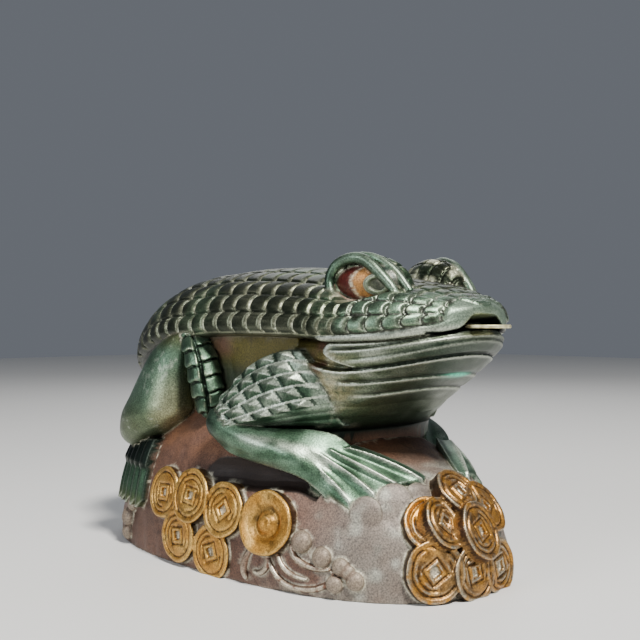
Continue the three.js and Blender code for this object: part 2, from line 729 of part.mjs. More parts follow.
function carving() {
  const parts = [mound(), backShell(), trunk(), throat()];
  for (const side of [-1, 1]) {
    const mirrored = ([forward, out, up]) => at(forward, side * out, up);
    const sided = ([forward, out, up]) => [forward, side * out, up];
    parts.push(ball(sided(EYE_CENTRE), EYE_RADII, -side * EYE_SPLAY, EYE_SIDES));
    parts.push(ball(sided(EYEBALL_CENTRE), EYEBALL_RADII, -side * EYE_SPLAY, EYEBALL_SIDES));
    parts.push(ridge(EYE_LID.map(mirrored), LID_RADIUS));
    parts.push(upperArm(side));
    parts.push(reachingLimb(FOREARM_STATIONS, side));
    parts.push(forefoot(side));
    parts.push(limb(SHIN_STATIONS, side, 0));
    parts.push(limb(THIGH_STATIONS, side, THIGH_RELIEF));
    parts.push(hindFoot(side));
  }
  parts.push(...FOAM_BALLS.map(foamBall));
  parts.push(...WAVE_LINES.map(waveRidge));
  let whole = parts.map(toSolid).reduce((sum, solid) => sum.add(solid));
  for (const coin of PIERCED_COINS) whole = whole.add(reliefCoin(coin, "hole"));
  for (const coin of PLAIN_COINS) whole = whole.add(reliefCoin(coin, "plain"));
  for (const coin of BOSS_COINS) whole = whole.add(reliefCoin(coin, "boss"));
  const floor = new THREE.BoxGeometry(FLOOR_SIZE, FLOOR_SIZE, FLOOR_SIZE);
  floor.translate(0, 0, -FLOOR_SIZE / 2);
  return whole.subtract(toSolid(floor)).subtract(toSolid(mouthSlot()));
}

function toGeometry(solid) {
  const mesh = solid.getMesh();
  const geometry = new THREE.BufferGeometry();
  const positions = new Float32Array(mesh.numVert * 3);
  for (let i = 0; i < mesh.numVert; i++) {
    const start = i * mesh.numProp;
    positions.set(mesh.vertProperties.subarray(start, start + 3), i * 3);
  }
  geometry.setAttribute("position", new THREE.BufferAttribute(positions, 3));
  geometry.setIndex(new THREE.BufferAttribute(mesh.triVerts, 1));
  return geometry;
}

function mouthCoin() {
  const radius = MOUTH_COIN_RADIUS;
  const disc = new THREE.CylinderGeometry(radius, radius, MOUTH_COIN_THICKNESS, MOUTH_COIN_SIDES);
  disc.rotateX(Math.PI / 2);
  const hole = new THREE.BoxGeometry(MOUTH_COIN_HOLE, MOUTH_COIN_HOLE, 2 * MOUTH_COIN_THICKNESS);
  const [forward, left, up] = MOUTH_COIN_CENTRE;
  return toGeometry(toSolid(disc).subtract(toSolid(hole))).translate(left, -forward, up);
}

const frog = new THREE.Group();
const body = new THREE.Mesh(toGeometry(carving()), GREEN);
body.name = "frog_carving";
const coin = new THREE.Mesh(mouthCoin(), BRASS);
coin.name = "mouth_coin";
frog.add(body, coin);

export default frog;
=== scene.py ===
"""Carved and painted wooden frog on a domed mound, with a loose coin in its mouth.

Shapes are worked out in millimetres as forward, left and up distances, like the solid's, and
joined in one volume before they become a mesh in metres.
"""
import math

import bpy
import numpy as np
import openvdb
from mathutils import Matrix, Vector
from mathutils.kdtree import KDTree


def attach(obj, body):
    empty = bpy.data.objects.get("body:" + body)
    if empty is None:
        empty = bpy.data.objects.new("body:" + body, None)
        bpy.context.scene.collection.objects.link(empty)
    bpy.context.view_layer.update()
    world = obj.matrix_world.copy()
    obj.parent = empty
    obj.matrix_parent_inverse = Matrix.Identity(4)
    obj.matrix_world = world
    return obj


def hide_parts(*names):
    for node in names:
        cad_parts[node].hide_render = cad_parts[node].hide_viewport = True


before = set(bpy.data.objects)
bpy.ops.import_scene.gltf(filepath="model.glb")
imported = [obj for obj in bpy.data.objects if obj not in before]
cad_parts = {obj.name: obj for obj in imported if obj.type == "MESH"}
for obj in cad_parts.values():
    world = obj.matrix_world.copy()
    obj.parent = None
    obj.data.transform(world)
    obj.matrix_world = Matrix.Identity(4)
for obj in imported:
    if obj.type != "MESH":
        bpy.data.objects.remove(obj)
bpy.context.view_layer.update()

MM = 0.001
VOXEL = 0.6
BAND = 5.0
TRIANGLES = 194000
HIDDEN_DEPTH = 1.6
FLOOR_GAP = 0.02
# The surface lies this far outside the solids, and loose bits with fewer faces are dropped
SEAM = 0.01
CRUMB_FACES = 1000

# Noises: size in millimetres and seed
SCOOP_NOISE = (8, 21)
SWELL_NOISE = (24, 22)
BROAD_NOISE = (26, 3)
SMALL_NOISE = (7, 5)
TINY_NOISE = (2.2, 9)
STREAK_NOISE = (5, 12)
NOISE_TABLE = 32

# Camera and framing
CAMERA_PLACE = (-420.7, -451.4, 146.0)
CAMERA_HEADING = (0.6984, 0.7157)
LENS = 54.0
SENSOR_WIDTH = 36
# Lamps: name, place in metres, watts, size and colour
LAMPS = [
    ("key", (-0.35, -1.1, 1.6), 84, 0.3, (1.0, 0.97, 0.92)),
    ("fill", (-1.4, 0.1, 0.7), 12, 0.6, (0.92, 0.96, 1.0)),
    ("rim", (0.9, 0.8, 1.0), 5, 0.9, (1, 1, 1)),
]
LAMP_TARGET = (0, 0, 0.08)
SKY = (0.8, 0.87, 1.0, 1)
SKY_STRENGTH = 0.17

# Mound
MOUND_HALF_LENGTH = 146.9
MOUND_HALF_WIDTH = 81.2
MOUND_PLAN_POWER = 2.4
MOUND_FALL_POWER = 2.6
MOUND_RISE_POWER = 0.4
SCOOP_DEPTH = 0.9
SWELL_DEPTH = 0.5
MOUND_HEIGHT_ALONG = [(-147, 104), (-20, 104), (50, 91), (100, 82), (147, 80)]

# Back
BACK_HALF_WIDTH = 62.0
BACK_ROWS = 11
SECTION_POWER = 2.2
RUMP_CENTRE = -40.0
RUMP_LENGTH = 101.0
RUMP_FALL = 1.12
RUMP_POWER = 2.0
RUMP_TIP_HEIGHT = 98.0
RUMP_COLUMNS = 9
MIDDLE_COLUMNS = 8
HEAD_COLUMNS = 12
COLUMNS = RUMP_COLUMNS + MIDDLE_COLUMNS + HEAD_COLUMNS
STEPS_PER_SCALE = 20
HEAD_SPREAD = 0.12
HEAD_CENTRE = 66.0
HEAD_LENGTH = 82.0
HEAD_POWER = 2.05
RIDGE_HEIGHT = [
    (-40, 175), (-10, 177), (20, 176.4), (60, 173), (90, 168), (112, 164.5), (130, 160.5),
    (143, 156), (148, 153.2),
]
LEDGE_HEIGHT = [
    (-40, 136), (-10, 138.5), (60, 138.5), (82, 137.5), (106, 138.8), (120, 140.4),
    (129, 142.4), (140, 145.5), (148, 152),
]
SCALE_RELIEF = 2.0
LEDGE_DEPTH = 0.4
FLANK_INSET = 7.0
TRUNK_LEVELS = [(0, 16), (0.5, 12), (1.03, 9.5)]
TRUNK_FOOT = 56.0

# Mouth and throat
LIP_HEIGHT = [
    (60, 134), (90, 134.6), (117, 135.8), (137, 139.2), (142, 140.4), (146, 141.8), (148, 142.4),
]
LIP_BULGE = 1.2
# Roof and floor of the slit as distance from the middle and height, and how its roof rises in front
SLOT_ROOF = [(0, 145.2), (11, 145.2), (20, 141.2), (28, 139.4)]
SLOT_FLOOR = [(0, 140.6), (12, 140.6), (20, 139.6), (28, 139.0)]
SLOT_END = 134.5
SLOT_RISE_START = 138
SLOT_RISE_LENGTH = 9
SLOT_RISE_SLOPE = 0.45
# The box round the slit: half width, rear end, and its lower and upper level
SLOT_BOX = (34, 130, 130, 156)
THROAT_CENTRE = 66.0
THROAT_POWER = 2.05
THROAT_REAR = 30.0
THROAT_REAR_INSET = 13.0
CHIN_START = 92.0
# Grooves from the mouth down: height at the rear, at the lowest, at the front, forward reach,
# half width, and the swell of the band below
GROOVES = [
    (138, 138, 145, 138.0, 52.0, 0.0),
    (134, 134, 141, 145.6, 58.0, 0.2),
    (131.4, 131.0, 139.8, 146.6, 59.4, 0.5),
    (130, 125.0, 136.4, 147.4, 60.2, 0.8),
    (124.5, 119.6, 128.4, 140.4, 58.6, 0.8),
    (116.3, 113.0, 117.2, 128.0, 56.2, 0.8),
    (108.2, 105.6, 109.4, 115.6, 53.8, 0.6),
    (100.2, 98.6, 100.7, 102.1, 52.0, 0.8),
    (84, 84, 84, 80.0, 48.0, 0.0),
    (64, 64, 64, 77.0, 46.0, 0.0),
]
GROOVE_STEPS = 22
# Depth of the groove at the top of each band, and where it fades in
GROOVE_STRENGTH = [0.0, 0.9, 0.8, 0.6, 1.4, 1.0, 1.0, 0.9, 0.0]
GROOVE_FADE = [(0, 1), (78, 86), (84, 93), (90, 104), (70, 82), (84, 94), (90, 101), (100, 114), (0, 1)]
# The jaw lobe: the bands it covers, its rear end, step, levels and rounding
JAW_LINES = 4
LOBE_REAR = 82.0
LOBE_STEP = 6.0
LOBE_LOW = 124.5
LOBE_HIGH = 135.0
LOBE_ROUNDING = 6.0

# Eyes
EYE_CENTRE = (88, 28, 162)
EYE_RADII = (25.5, 14, 19.0)
EYEBALL_CENTRE = (92.5, 33.2, 166)
EYEBALL_RADII = (20.5, 8.4, 11.5)
EYE_SPLAY = 14.0
# Outline of the eye's opening as forward and up
EYE_OPENING = [
    (75.5, 166.2), (78, 171), (83.5, 174.8), (93, 175.6), (101, 173.2), (107, 169.6),
    (112, 165.4), (114, 161.4), (107, 159.4), (100, 158.2), (93, 157), (88, 156.8), (81, 160.6),
]
# Rings of the cutter that opens the eye: distance out and growth
OPENING_RINGS = [(30, 0.96), (41, 1.0), (46, 1.08), (60, 1.3)]
EYE_BROW = [
    (60, 172), (77, 175), (82, 177), (94, 177), (99.6, 174), (104, 170.4), (108, 166.4), (113, 160),
]
PUPIL_PLACE = (103.2, 165.2)
PUPIL_STRETCH = 1.22
INNER_LID = [
    (82, 47.5, 156.5), (77, 46.5, 160.5), (73.8, 45, 165.5), (73.4, 43.5, 171), (76.5, 42, 176.2),
    (82, 40.8, 179), (88.4, 39.6, 180), (94.4, 38.6, 178.6), (99.6, 37.8, 175.2), (104, 37, 171.2),
    (108.4, 36, 166.8), (112.6, 35, 161.8), (116.5, 33, 153.5),
]
OUTER_LID = [
    (79, 38.5, 179.1), (83, 36.8, 180.6), (89.6, 34.6, 181.2), (96, 32.6, 179.9), (102.4, 30.6, 176.8),
    (108.6, 29, 171.8), (114, 28.2, 165.8), (118.6, 27.4, 159.5), (121.5, 26.8, 153),
]
EYE_RIM = [
    (75.6, 43.2, 166), (77, 43.6, 162.6), (80.5, 43.6, 159.6), (85, 43.2, 157.4), (90, 42.4, 156.4),
    (96, 41, 157),
]
# Each lid and the rim with its paint, radius and steps
EYE_RIDGES = [("lid", INNER_LID, 3.3, 90), ("lid", OUTER_LID, 2.7, 90), ("rim", EYE_RIM, 0.9, 48)]

# Upper arm: three edges from elbow to shoulder
ARM_TOP_EDGE = [
    (7, 79, 95), (20, 76, 108.7), (28, 72.5, 118), (38, 69.5, 124.5), (53, 66.5, 129), (64, 66, 129.5),
]
ARM_SCALE_EDGE = [(16, 80, 84), (40, 74, 89.5), (60, 67, 95.5), (78, 57, 101)]
ARM_FOLD_EDGE = [(16, 80, 84), (40, 70, 85.5), (60, 59, 86.5), (80, 47, 87)]
ARM_CORE = 28.0
ARM_TILES = 5.6
ARM_ROWS = 4.6
ARM_ROW_SPREAD = 0.9
ARM_FOLDS = 3
ARM_ROUNDING = 9.0
ARM_RELIEF = 3.4
ARM_END_BULGE = 5.0
# Where a pyramid's peak lies in its tile, along the arm and down it
ARM_PEAK = (0.62, 0.4)

# Top of the forearm: crease, crown and lower edge from elbow to wrist
FOREARM_CREASE = [
    (14, 74, 91), (26, 74, 87), (40, 68, 85.5), (54, 61, 85.5), (68, 53, 85.5), (80, 44, 82), (90, 36, 70),
    (98, 30, 56),
]
FOREARM_CROWN = [
    (9, 75, 84), (26, 78, 80.5), (42, 75.5, 77.5), (57, 70.5, 76), (69, 65, 73.5), (79, 58.5, 67.5),
    (88, 51, 58), (95, 45, 48),
]
FOREARM_LOWER = [
    (12, 74, 75), (24, 75, 70), (43.5, 72, 66), (60, 69, 63.5), (72, 65, 60), (80, 61, 54), (88, 57, 46),
    (94, 53, 40),
]
FOOT_BLEND = 2.6
FAR_WRIST_SHIFT = 12.0
FAR_FOOT_SHIFT = 5.0
WEB_BITE = 0.02
# Path of the hollow in the mound under the forearm
HOLLOW = [
    (-14, 90, 61), (2, 83, 61), (20, 76.5, 61.5), (40, 73.5, 61.5), (58, 69.5, 63), (72, 65, 62.5),
    (84, 61, 57.5),
]
HOLLOW_RADIUS = 11.5
FOREARM_STATIONS = [
    (2, 72, 87, 1, 1), (4, 72, 87, 4.5, 5.5), (9, 72, 86, 8, 9), (22, 71, 82, 9.5, 8.5),
    (40, 67, 77, 11, 8), (56, 60, 73, 12.5, 8.5), (68, 56, 68, 11, 8), (78, 55, 61, 6, 5),
]
# Webs and toes in turn: forward, sideways and height over the mound at the wrist, halfway and the tip
TOE_LINES = [
    (69.5, 60.3, 7.0, 86.0, 58.1, 3.5, 98.1, 56.0, 2.0),
    (70.1, 60.8, 13.0, 87.3, 57.1, 8.5, 99.7, 55.4, 4.0),
    (69.8, 58.2, 11.0, 87.6, 52.1, 4.8, 103.7, 49.6, 2.2),
    (73.5, 58.0, 15.0, 90.9, 50.9, 9.5, 109.2, 45.4, 4.0),
    (76.2, 53.1, 11.0, 93.5, 44.3, 4.8, 109.4, 37.0, 2.2),
    (81.1, 50.9, 13.0, 100.1, 41.8, 8.5, 113.1, 33.1, 4.0),
    (82.4, 45.3, 9.0, 100.9, 33.1, 4.2, 114.9, 24.5, 2.2),
    (86.0, 42.7, 11.0, 103.8, 29.8, 8.0, 119.2, 17.2, 4.0),
    (81.5, 34.0, 5.0, 98.8, 20.9, 2.5, 116.2, 11.0, 1.5),
]
SHIN_STATIONS = [
    (-36, 59, 141, 1.5, 1.5), (-37, 59, 139, 5, 4), (-47, 59, 134.5, 10.5, 7),
    (-57, 59, 125, 15.5, 10), (-63, 59, 111, 20, 13.5), (-67, 59, 97, 25, 17),
    (-71, 59, 86, 28, 20), (-78, 59, 77, 25, 18), (-86, 60, 70, 18, 13), (-90, 60, 65, 11, 8),
    (-91, 60, 62, 3, 3),
]
THIGH_STATIONS = [
    (-36, 55, 138, 6, 6), (-30, 56, 130, 8.5, 9), (-25, 56, 121, 9, 10), (-22, 56, 111, 9, 10),
    (-20, 55, 101, 9, 9.5), (-19, 54, 91, 6.5, 8), (-19, 54, 86, 3, 4),
]
THIGH_SEAM = 50.0
THIGH_PITCH = 9.4
HIND_FOOT_SPAN = (-108, -60)
HIND_FOOT_TOP = 70.0
HIND_FOOT_FOOT = 27.0
HIND_TOES = 5

# Relief coins: bearing, height, radius, lift, turn as seen from above, spin of the square and kind
COINS = [
    (-103.9, 40.5, 15.6, 3.0, 0, 4, "thin"),
    (-92.2, 42.0, 16.0, 4.8, 0, -6, "thin"),
    (-80.6, 38.0, 15.8, 3.6, 0, 38, "thin"),
    (-96.2, 18.0, 15.8, 3.2, 0, 8, "thin"),
    (-84.4, 13.2, 15.8, 2.0, 0, 20, "thin"),
    (-1.0, 50.0, 15.4, 4.8, 6, 12, "bold"),
    (-16.6, 38.0, 14.6, 4.2, 22, 40, "bold"),
    (-21.0, 38.5, 15.6, 2.2, 0, 34, "bold"),
    (-2.8, 31.8, 16.2, 6.6, 10, 14, "bold"),
    (-23.4, 16.2, 16.3, 3.0, 0, 34, "bold"),
    (-7.4, 13.2, 15.8, 3.0, 4, 8, "bold"),
    (9.0, 12.4, 15.4, 2.0, 0, 10, "bold"),
    (11.0, 42.0, 15.8, 3.0, 0, 30, "bold"),
    (-67.3, 35.0, 17.8, 4.2, 0, 0, "boss"),
    (97.0, 36.0, 15.8, 4.0, 0, 0, "thin"),
    (84.0, 28.0, 15.8, 2.6, 0, 25, "thin"),
]
# Foam balls: bearing, height and radius
FOAM_BALLS = [
    (-58.4, 28, 6.0), (-53.4, 21.2, 5.5), (-48.8, 17.4, 4.8), (-45.4, 10.8, 5.0), (-50.4, 8.4, 4.8),
    (-47.2, 15.2, 4.0), (60, 20, 6.5), (66, 11, 6),
]
PEBBLES = [(-123.6, 17.5, 6.5), (-121.5, 27, 5), (-124, 8, 5.5)]
# Rounded lobes of the mound in front of the foot: bearing, height, radius and how tall to wide
LOBES = [(-40.8, 44.6, 8.8, 1.0), (-30.6, 49.8, 10.4, 1.0), (-18.5, 54.8, 7.0, 0.6)]
LOBE_BULGE = 0.2
LOBE_LEAN = 14.0
LOBE_TAIL = 1.2
LOBE_SINK = 0.22
# Lines of the wave as bearing and height
WAVE_OUTER = [
    (-67.2, 22), (-66.8, 15.1), (-64.5, 7.4), (-60.8, 3.6), (-55.8, 4.2), (-52.0, 7.9), (-50.6, 12.0),
    (-51.4, 15.4),
]
WAVE_MIDDLE = [(-65.0, 21.7), (-63.4, 14.4), (-60.8, 10.2), (-57.2, 8.6)]
WAVE_INNER = [(-61.4, 26), (-60.6, 22.1), (-59.7, 18.9), (-57.2, 16.2), (-54.4, 15.2), (-51.6, 15.6)]
WAVE_CURL = [(-71.7, 21.5), (-73.3, 14.5), (-73.9, 8), (-73.2, 3)]
WAVE_INNER_CURL = [(-68.4, 21), (-67.2, 16.7), (-67.6, 11.8), (-69.2, 8.2), (-71.2, 8.0)]
# Ridges with their radius, and hollow bands between two lines with their depth
WAVE_RIDGES = [
    (WAVE_OUTER, 1.6), (WAVE_MIDDLE, 1.4), (WAVE_INNER, 1.7), (WAVE_CURL, 2.3), (WAVE_INNER_CURL, 1.7),
]
WAVE_BANDS = [
    (WAVE_INNER, WAVE_MIDDLE, 1.2), (WAVE_MIDDLE, WAVE_OUTER, 1.2), (WAVE_CURL[:3], WAVE_INNER_CURL[:3], 1.3),
]
WAVE_HOLLOW_RADIUS = 5.0

MOUTH_COIN_CENTRE = (148, 0, 142.6)
MOUTH_COIN_RADIUS = 12.4
MOUTH_COIN_HALF = 0.9
MOUTH_COIN_HOLE = 2.4


def place(forward, left, up):
    """Points in the frame's x, y and z, still in millimetres, from forward, left and up."""
    forward, left, up = np.broadcast_arrays(forward, left, up)
    return np.stack([left, -forward, up], axis=-1).astype(float)


def mirrored(line, side):
    """The points of a line given as forward, outward and up, on the right (-1) or the left (1)."""
    return [tuple(place(forward, side * out, up)) for forward, out, up in line]


def turned(degrees):
    return math.cos(math.radians(degrees)), math.sin(math.radians(degrees))


def full_turn(steps):
    return np.linspace(0, 2 * math.pi, steps, endpoint=False)


def mix(a, b, t):
    return a + (b - a) * t


def smooth(low, high, x):
    t = np.clip((np.asarray(x, dtype=float) - low) / (high - low), 0, 1)
    return t * t * (3 - 2 * t)


def track(pairs):
    """A smooth curve through (x, y) pairs, held level past its ends."""
    x, y = (np.array(values, dtype=float) for values in zip(*pairs))
    slope = np.empty_like(y)
    slope[1:-1] = (y[2:] - y[:-2]) / (x[2:] - x[:-2])
    slope[0] = (y[1] - y[0]) / (x[1] - x[0])
    slope[-1] = (y[-1] - y[-2]) / (x[-1] - x[-2])

    def curve(at):
        at = np.clip(at, x[0], x[-1])
        i = np.clip(np.searchsorted(x, at, side="right") - 1, 0, len(x) - 2)
        width = x[i + 1] - x[i]
        t = (at - x[i]) / width
        start = (1 + 2 * t) * (1 - t) ** 2 * y[i] + t * (1 - t) ** 2 * width * slope[i]
        end = t * t * (3 - 2 * t) * y[i + 1] + t * t * (t - 1) * width * slope[i + 1]
        return start + end

    return curve


mound_height = track(MOUND_HEIGHT_ALONG)
ridge_height = track(RIDGE_HEIGHT)
ledge_height = track(LEDGE_HEIGHT)
lip_height = track(LIP_HEIGHT)
eye_brow = track(EYE_BROW)


def bow(start, middle, end, t):
    """A curve from start to end that passes the middle halfway."""
    pull = 2 * middle - (start + end) / 2
    return (1 - t) ** 2 * start + 2 * t * (1 - t) * pull + t * t * end


def oval_reach(x, y, power):
    """How far the direction (x, y) goes to meet a squarish oval of radius 1."""
    return 1 / (np.abs(x) ** power + np.abs(y) ** power) ** (1 / power)


def ball_grid(tilts, turns, pole):
    """Tilt, turn and the three directions over a ball, left open a little at its poles."""
    tilt = np.linspace(pole, math.pi - pole, tilts)[:, None]
    turn = full_turn(turns)[None, :]
    return tilt, turn, np.cos(tilt) + 0 * turn, np.sin(tilt) * np.cos(turn), np.sin(tilt) * np.sin(turn)


def resample(stations, steps):
    """Rows of numbers drawn smoothly through the stations."""
    table = np.array(stations, dtype=float)
    at = np.linspace(0, len(table) - 1, steps)
    columns = [track(list(enumerate(table[:, k])))(at) for k in range(table.shape[1])]
    return np.stack(columns, axis=1)


def surface_normals(grid, inside):
    """Unit normals of a grid of points, turned away from the points inside."""
    normal = np.cross(np.gradient(grid, axis=0), np.gradient(grid, axis=1))
    normal /= np.maximum(np.linalg.norm(normal, axis=-1, keepdims=True), 1e-9)
    away = np.sum(normal * (grid - inside), axis=-1, keepdims=True)
    return normal * np.where(away < 0, -1, 1)


class Solid:
    """A closed mesh with a tone for each vertex and the paint it belongs to."""

    def __init__(self, paint, points, quads, triangles, tone, blend=0.0):
        self.paint = paint
        self.points = points.reshape(-1, 3)
        self.quads = np.asarray(quads, dtype=np.uint32).reshape(-1, 4)
        self.triangles = np.asarray(triangles, dtype=np.uint32).reshape(-1, 3)
        self.tone = np.broadcast_to(tone, len(self.points)).astype(float)
        self.blend = blend


def grid_quads(rows, columns, ring=False, loop=False):
    """Corners of a grid's faces, with its columns closed in a ring or its rows in a loop."""
    across = np.arange(columns if ring else columns - 1)
    i, j = np.meshgrid(np.arange(rows if loop else rows - 1), across, indexing="ij")
    below, beside = (i + 1) % rows, (j + 1) % columns
    corners = [(i, j), (i, beside), (below, beside), (below, j)]
    return np.stack([row * columns + column for row, column in corners], axis=-1).reshape(-1, 4)


def tube(paint, rings, tone=0.0):
    """A skin over rings, an array of ring by side by place, with a hub closing each end."""
    count, size = rings.shape[:2]
    start, end = count * size, count * size + 1
    around = np.arange(size)
    after = (around + 1) % size
    last = (count - 1) * size
    triangles = np.concatenate([
        np.stack([after, around, np.full(size, start)], axis=1),
        np.stack([last + around, last + after, np.full(size, end)], axis=1),
    ])
    points = np.concatenate([rings.reshape(-1, 3), rings[:1].mean(axis=1), rings[-1:].mean(axis=1)])
    if np.ndim(tone):
        tone = np.concatenate([tone.reshape(-1), [0.0, 0.0]])
    return Solid(paint, points, grid_quads(count, size, ring=True), triangles, tone)


def slab(paint, outer, inner, tone, blend=0.0):
    """A slab between two grids of points, with a tone for each point of the outer one."""
    rows, columns = outer.shape[:2]
    under = rows * columns
    top = grid_quads(rows, columns)
    bottom = top[:, ::-1] + under
    rim = np.concatenate([
        np.arange(columns),
        np.arange(1, rows) * columns + columns - 1,
        (rows - 1) * columns + np.arange(columns - 2, -1, -1),
        np.arange(rows - 2, 0, -1) * columns,
    ])
    after = np.roll(rim, -1)
    wall = np.stack([after, rim, rim + under, after + under], axis=1)
    points = np.concatenate([outer.reshape(-1, 3), inner.reshape(-1, 3)])
    tone = np.concatenate([tone.reshape(-1), np.zeros(under)])
    return Solid(paint, points, np.concatenate([top, bottom, wall]), [], tone, blend)


def path_tube(paint, path, radius, steps=48, thin=0.35):
    """A rounded ridge along a smooth path, thinner at its ends."""
    line = resample(path, steps)
    along = np.gradient(line, axis=0)
    along /= np.linalg.norm(along, axis=1, keepdims=True)
    side = np.cross(along, (0.0, 0.0, 1.0))
    side /= np.linalg.norm(side, axis=1, keepdims=True)
    top = np.cross(side, along)
    swell = radius * mix(thin, 1, np.sin(np.linspace(0, math.pi, steps)) ** 0.5)
    turn = full_turn(20)[None, :, None]
    offset = side[:, None] * np.cos(turn) + top[:, None] * np.sin(turn)
    return tube(paint, line[:, None] + offset * swell[:, None, None])


# The mound

def wall_inset(share):
    """How far in the mound's wall lies, as a share of its plan, at a share of its height."""
    share = np.minimum(share, 1.0)
    return (1 - share ** (1 / MOUND_RISE_POWER)) ** (1 / MOUND_FALL_POWER)


def mound_point(bearing, share):
    x, y = np.cos(bearing), np.sin(bearing)
    reach = oval_reach(x, y, MOUND_PLAN_POWER) * wall_inset(share)
    forward = MOUND_HALF_LENGTH * x * reach
    return place(forward, MOUND_HALF_WIDTH * y * reach, mound_height(forward) * share)


def mound_top(forward, left):
    oval = 1 / oval_reach(forward / MOUND_HALF_LENGTH, left / MOUND_HALF_WIDTH, MOUND_PLAN_POWER)
    rise = np.maximum(1 - np.minimum(oval, 1) ** MOUND_FALL_POWER, 0) ** MOUND_RISE_POWER
    return mound_height(forward) * rise


def wall_frame(degrees, height, turn=0.0):
    """Place, sideways, upward and outward directions at a spot on the mound's wall."""
    bearing = math.radians(degrees)
    share = height / float(mound_height(0.0))
    for _ in range(6):
        share = height / float(mound_height(-mound_point(bearing, share)[1]))
    step = 0.01
    across = mound_point(bearing + step, share) - mound_point(bearing - step, share)
    upward = mound_point(bearing, share + step) - mound_point(bearing, share - step)
    normal = np.cross(across, upward)
    normal /= np.linalg.norm(normal)
    c, s = turned(turn)
    normal = np.array([normal[0] * c - normal[1] * s, normal[0] * s + normal[1] * c, normal[2]])
    side = np.cross((0.0, 0.0, 1.0), normal)
    side /= np.linalg.norm(side)
    return mound_point(bearing, share), side, np.cross(normal, side), normal


def scooped(points, away):
    """Points moved inward by the shallow scoops of a carving knife."""
    flat = points.reshape(-1, 3)
    scoops = 0.6 - np.abs(lattice_noise(flat * np.array([1.0, 1.0, 0.6]), *SCOOP_NOISE))
    swells = 0.6 - lattice_noise(flat, *SWELL_NOISE)
    depth = np.maximum(SCOOP_DEPTH * scoops + SWELL_DEPTH * swells, 0).reshape(points.shape[:2])
    return points - away * depth[..., None]


def mound():
    """The domed block of wood under the frog."""
    share = (1 - np.linspace(1, 0, 90) ** 1.6)[:, None] * 0.999
    points = mound_point(full_turn(420)[None, :], share)
    away = surface_normals(points, points * np.array([0.5, 0.5, 0.4]))
    return tube("mound", scooped(points, away))


# The back

def back_frame(column):
    """Ledge and crest as forward and up, and the half width, at columns of scales."""
    quarter = math.pi / 2
    rump = quarter * np.clip(column / RUMP_COLUMNS, 0, 1)
    reach = oval_reach(np.cos(rump) / RUMP_LENGTH, np.sin(rump) / BACK_HALF_WIDTH, RUMP_POWER)
    rise = np.sin(rump)
    middle = mix(RUMP_CENTRE, HEAD_CENTRE, np.clip((column - RUMP_COLUMNS) / MIDDLE_COLUMNS, 0, 1))
    share = np.clip((column - RUMP_COLUMNS - MIDDLE_COLUMNS) / HEAD_COLUMNS, 0, 1)
    head = quarter * share * (1 + HEAD_SPREAD - HEAD_SPREAD * share)
    ahead = oval_reach(np.sin(head) / HEAD_LENGTH, np.cos(head) / BACK_HALF_WIDTH, HEAD_POWER)
    in_rump = column < RUMP_COLUMNS
    in_head = column > RUMP_COLUMNS + MIDDLE_COLUMNS
    front = np.where(in_head, HEAD_CENTRE + ahead * np.sin(head), middle)
    ledge_u = np.where(in_rump, RUMP_CENTRE - reach * np.cos(rump), front)
    crest_u = np.where(in_rump, RUMP_CENTRE - RUMP_LENGTH * np.cos(rump), front)
    ledge_w = mix(RUMP_TIP_HEIGHT, ledge_height(RUMP_CENTRE), rise)
    ledge_w = np.where(in_rump, ledge_w, ledge_height(front))
    crest_w = mix(RUMP_TIP_HEIGHT, ridge_height(RUMP_CENTRE), rise ** RUMP_FALL)
    crest_w = np.where(in_rump, crest_w, ridge_height(front))
    half = np.where(in_rump, reach * rise, np.where(in_head, ahead * np.cos(head), BACK_HALF_WIDTH))
    return ledge_u, ledge_w, crest_u, crest_w, half


def scale_relief(column, angle):
    """Height of the scales, how much of their bright front cut shows, and the gaps round them."""
    row = (angle / math.pi + 0.5) * BACK_ROWS
    index = np.clip(np.floor(row), 0, BACK_ROWS - 1)
    across = row - index - 0.5
    up = across * np.where(angle > 0, -1, 1) * 2
    middle_row = index == BACK_ROWS // 2
    up = np.where(middle_row, -np.abs(up), up)
    edge = -0.24 * (1 - np.abs(up) ** 2.4) + 0.16 * np.clip(up, 0, 1) ** 2
    wobble = 0.05 * np.sin(index * 2.3 + np.floor(column) * 4.7)
    t = np.mod(column - edge + wobble, 1.0)
    step = smooth(0.0, 0.06, t)
    slope = 1 - smooth(0.76, 0.99, t) ** 1.2
    groove = smooth(0.5, 0.42, np.abs(across))
    height = (step * slope) * (0.25 + 0.75 * groove) + 0.16 * (1 - up ** 2)
    # The pale front cuts and row seams are partly pale paint and partly a painted highlight; on the cheeks
    # the gaps take painted shadow.
    cut = (0.15 * smooth(0.6, 0.88, t) + 0.85 * smooth(0.87, 0.94, t)) * smooth(1.02, 0.985, t)
    seam = smooth(0.47, 0.495, np.abs(across)) * 0.55
    gap = np.maximum(smooth(0.16, 0.08, t), smooth(0.43, 0.46, np.abs(across)))
    return height, np.clip(np.maximum(cut, seam), 0, 1), gap


def lip_band(ledge_u, ledge_w, half, in_head):
    """Half widths and heights of the band under the ledge: drawn in at the flank, out to the lip."""
    tip = np.minimum(1, 4 * half / BACK_HALF_WIDTH)
    bulge_half = mix(half - 1.6, half + LIP_BULGE, in_head) * tip
    bulge_up = mix(ledge_w - 1.2, mix(ledge_w, lip_height(ledge_u), 0.5), in_head)
    low_half = np.maximum(mix(half - FLANK_INSET, half - 0.4, in_head), 0)
    low_up = mix(ledge_w - LEDGE_DEPTH - 2, lip_height(ledge_u), in_head)
    t = np.linspace(0, 1, 9)[None, 1:]
    return bow(half, bulge_half, low_half, t), bow(ledge_w, bulge_up, low_up, t)


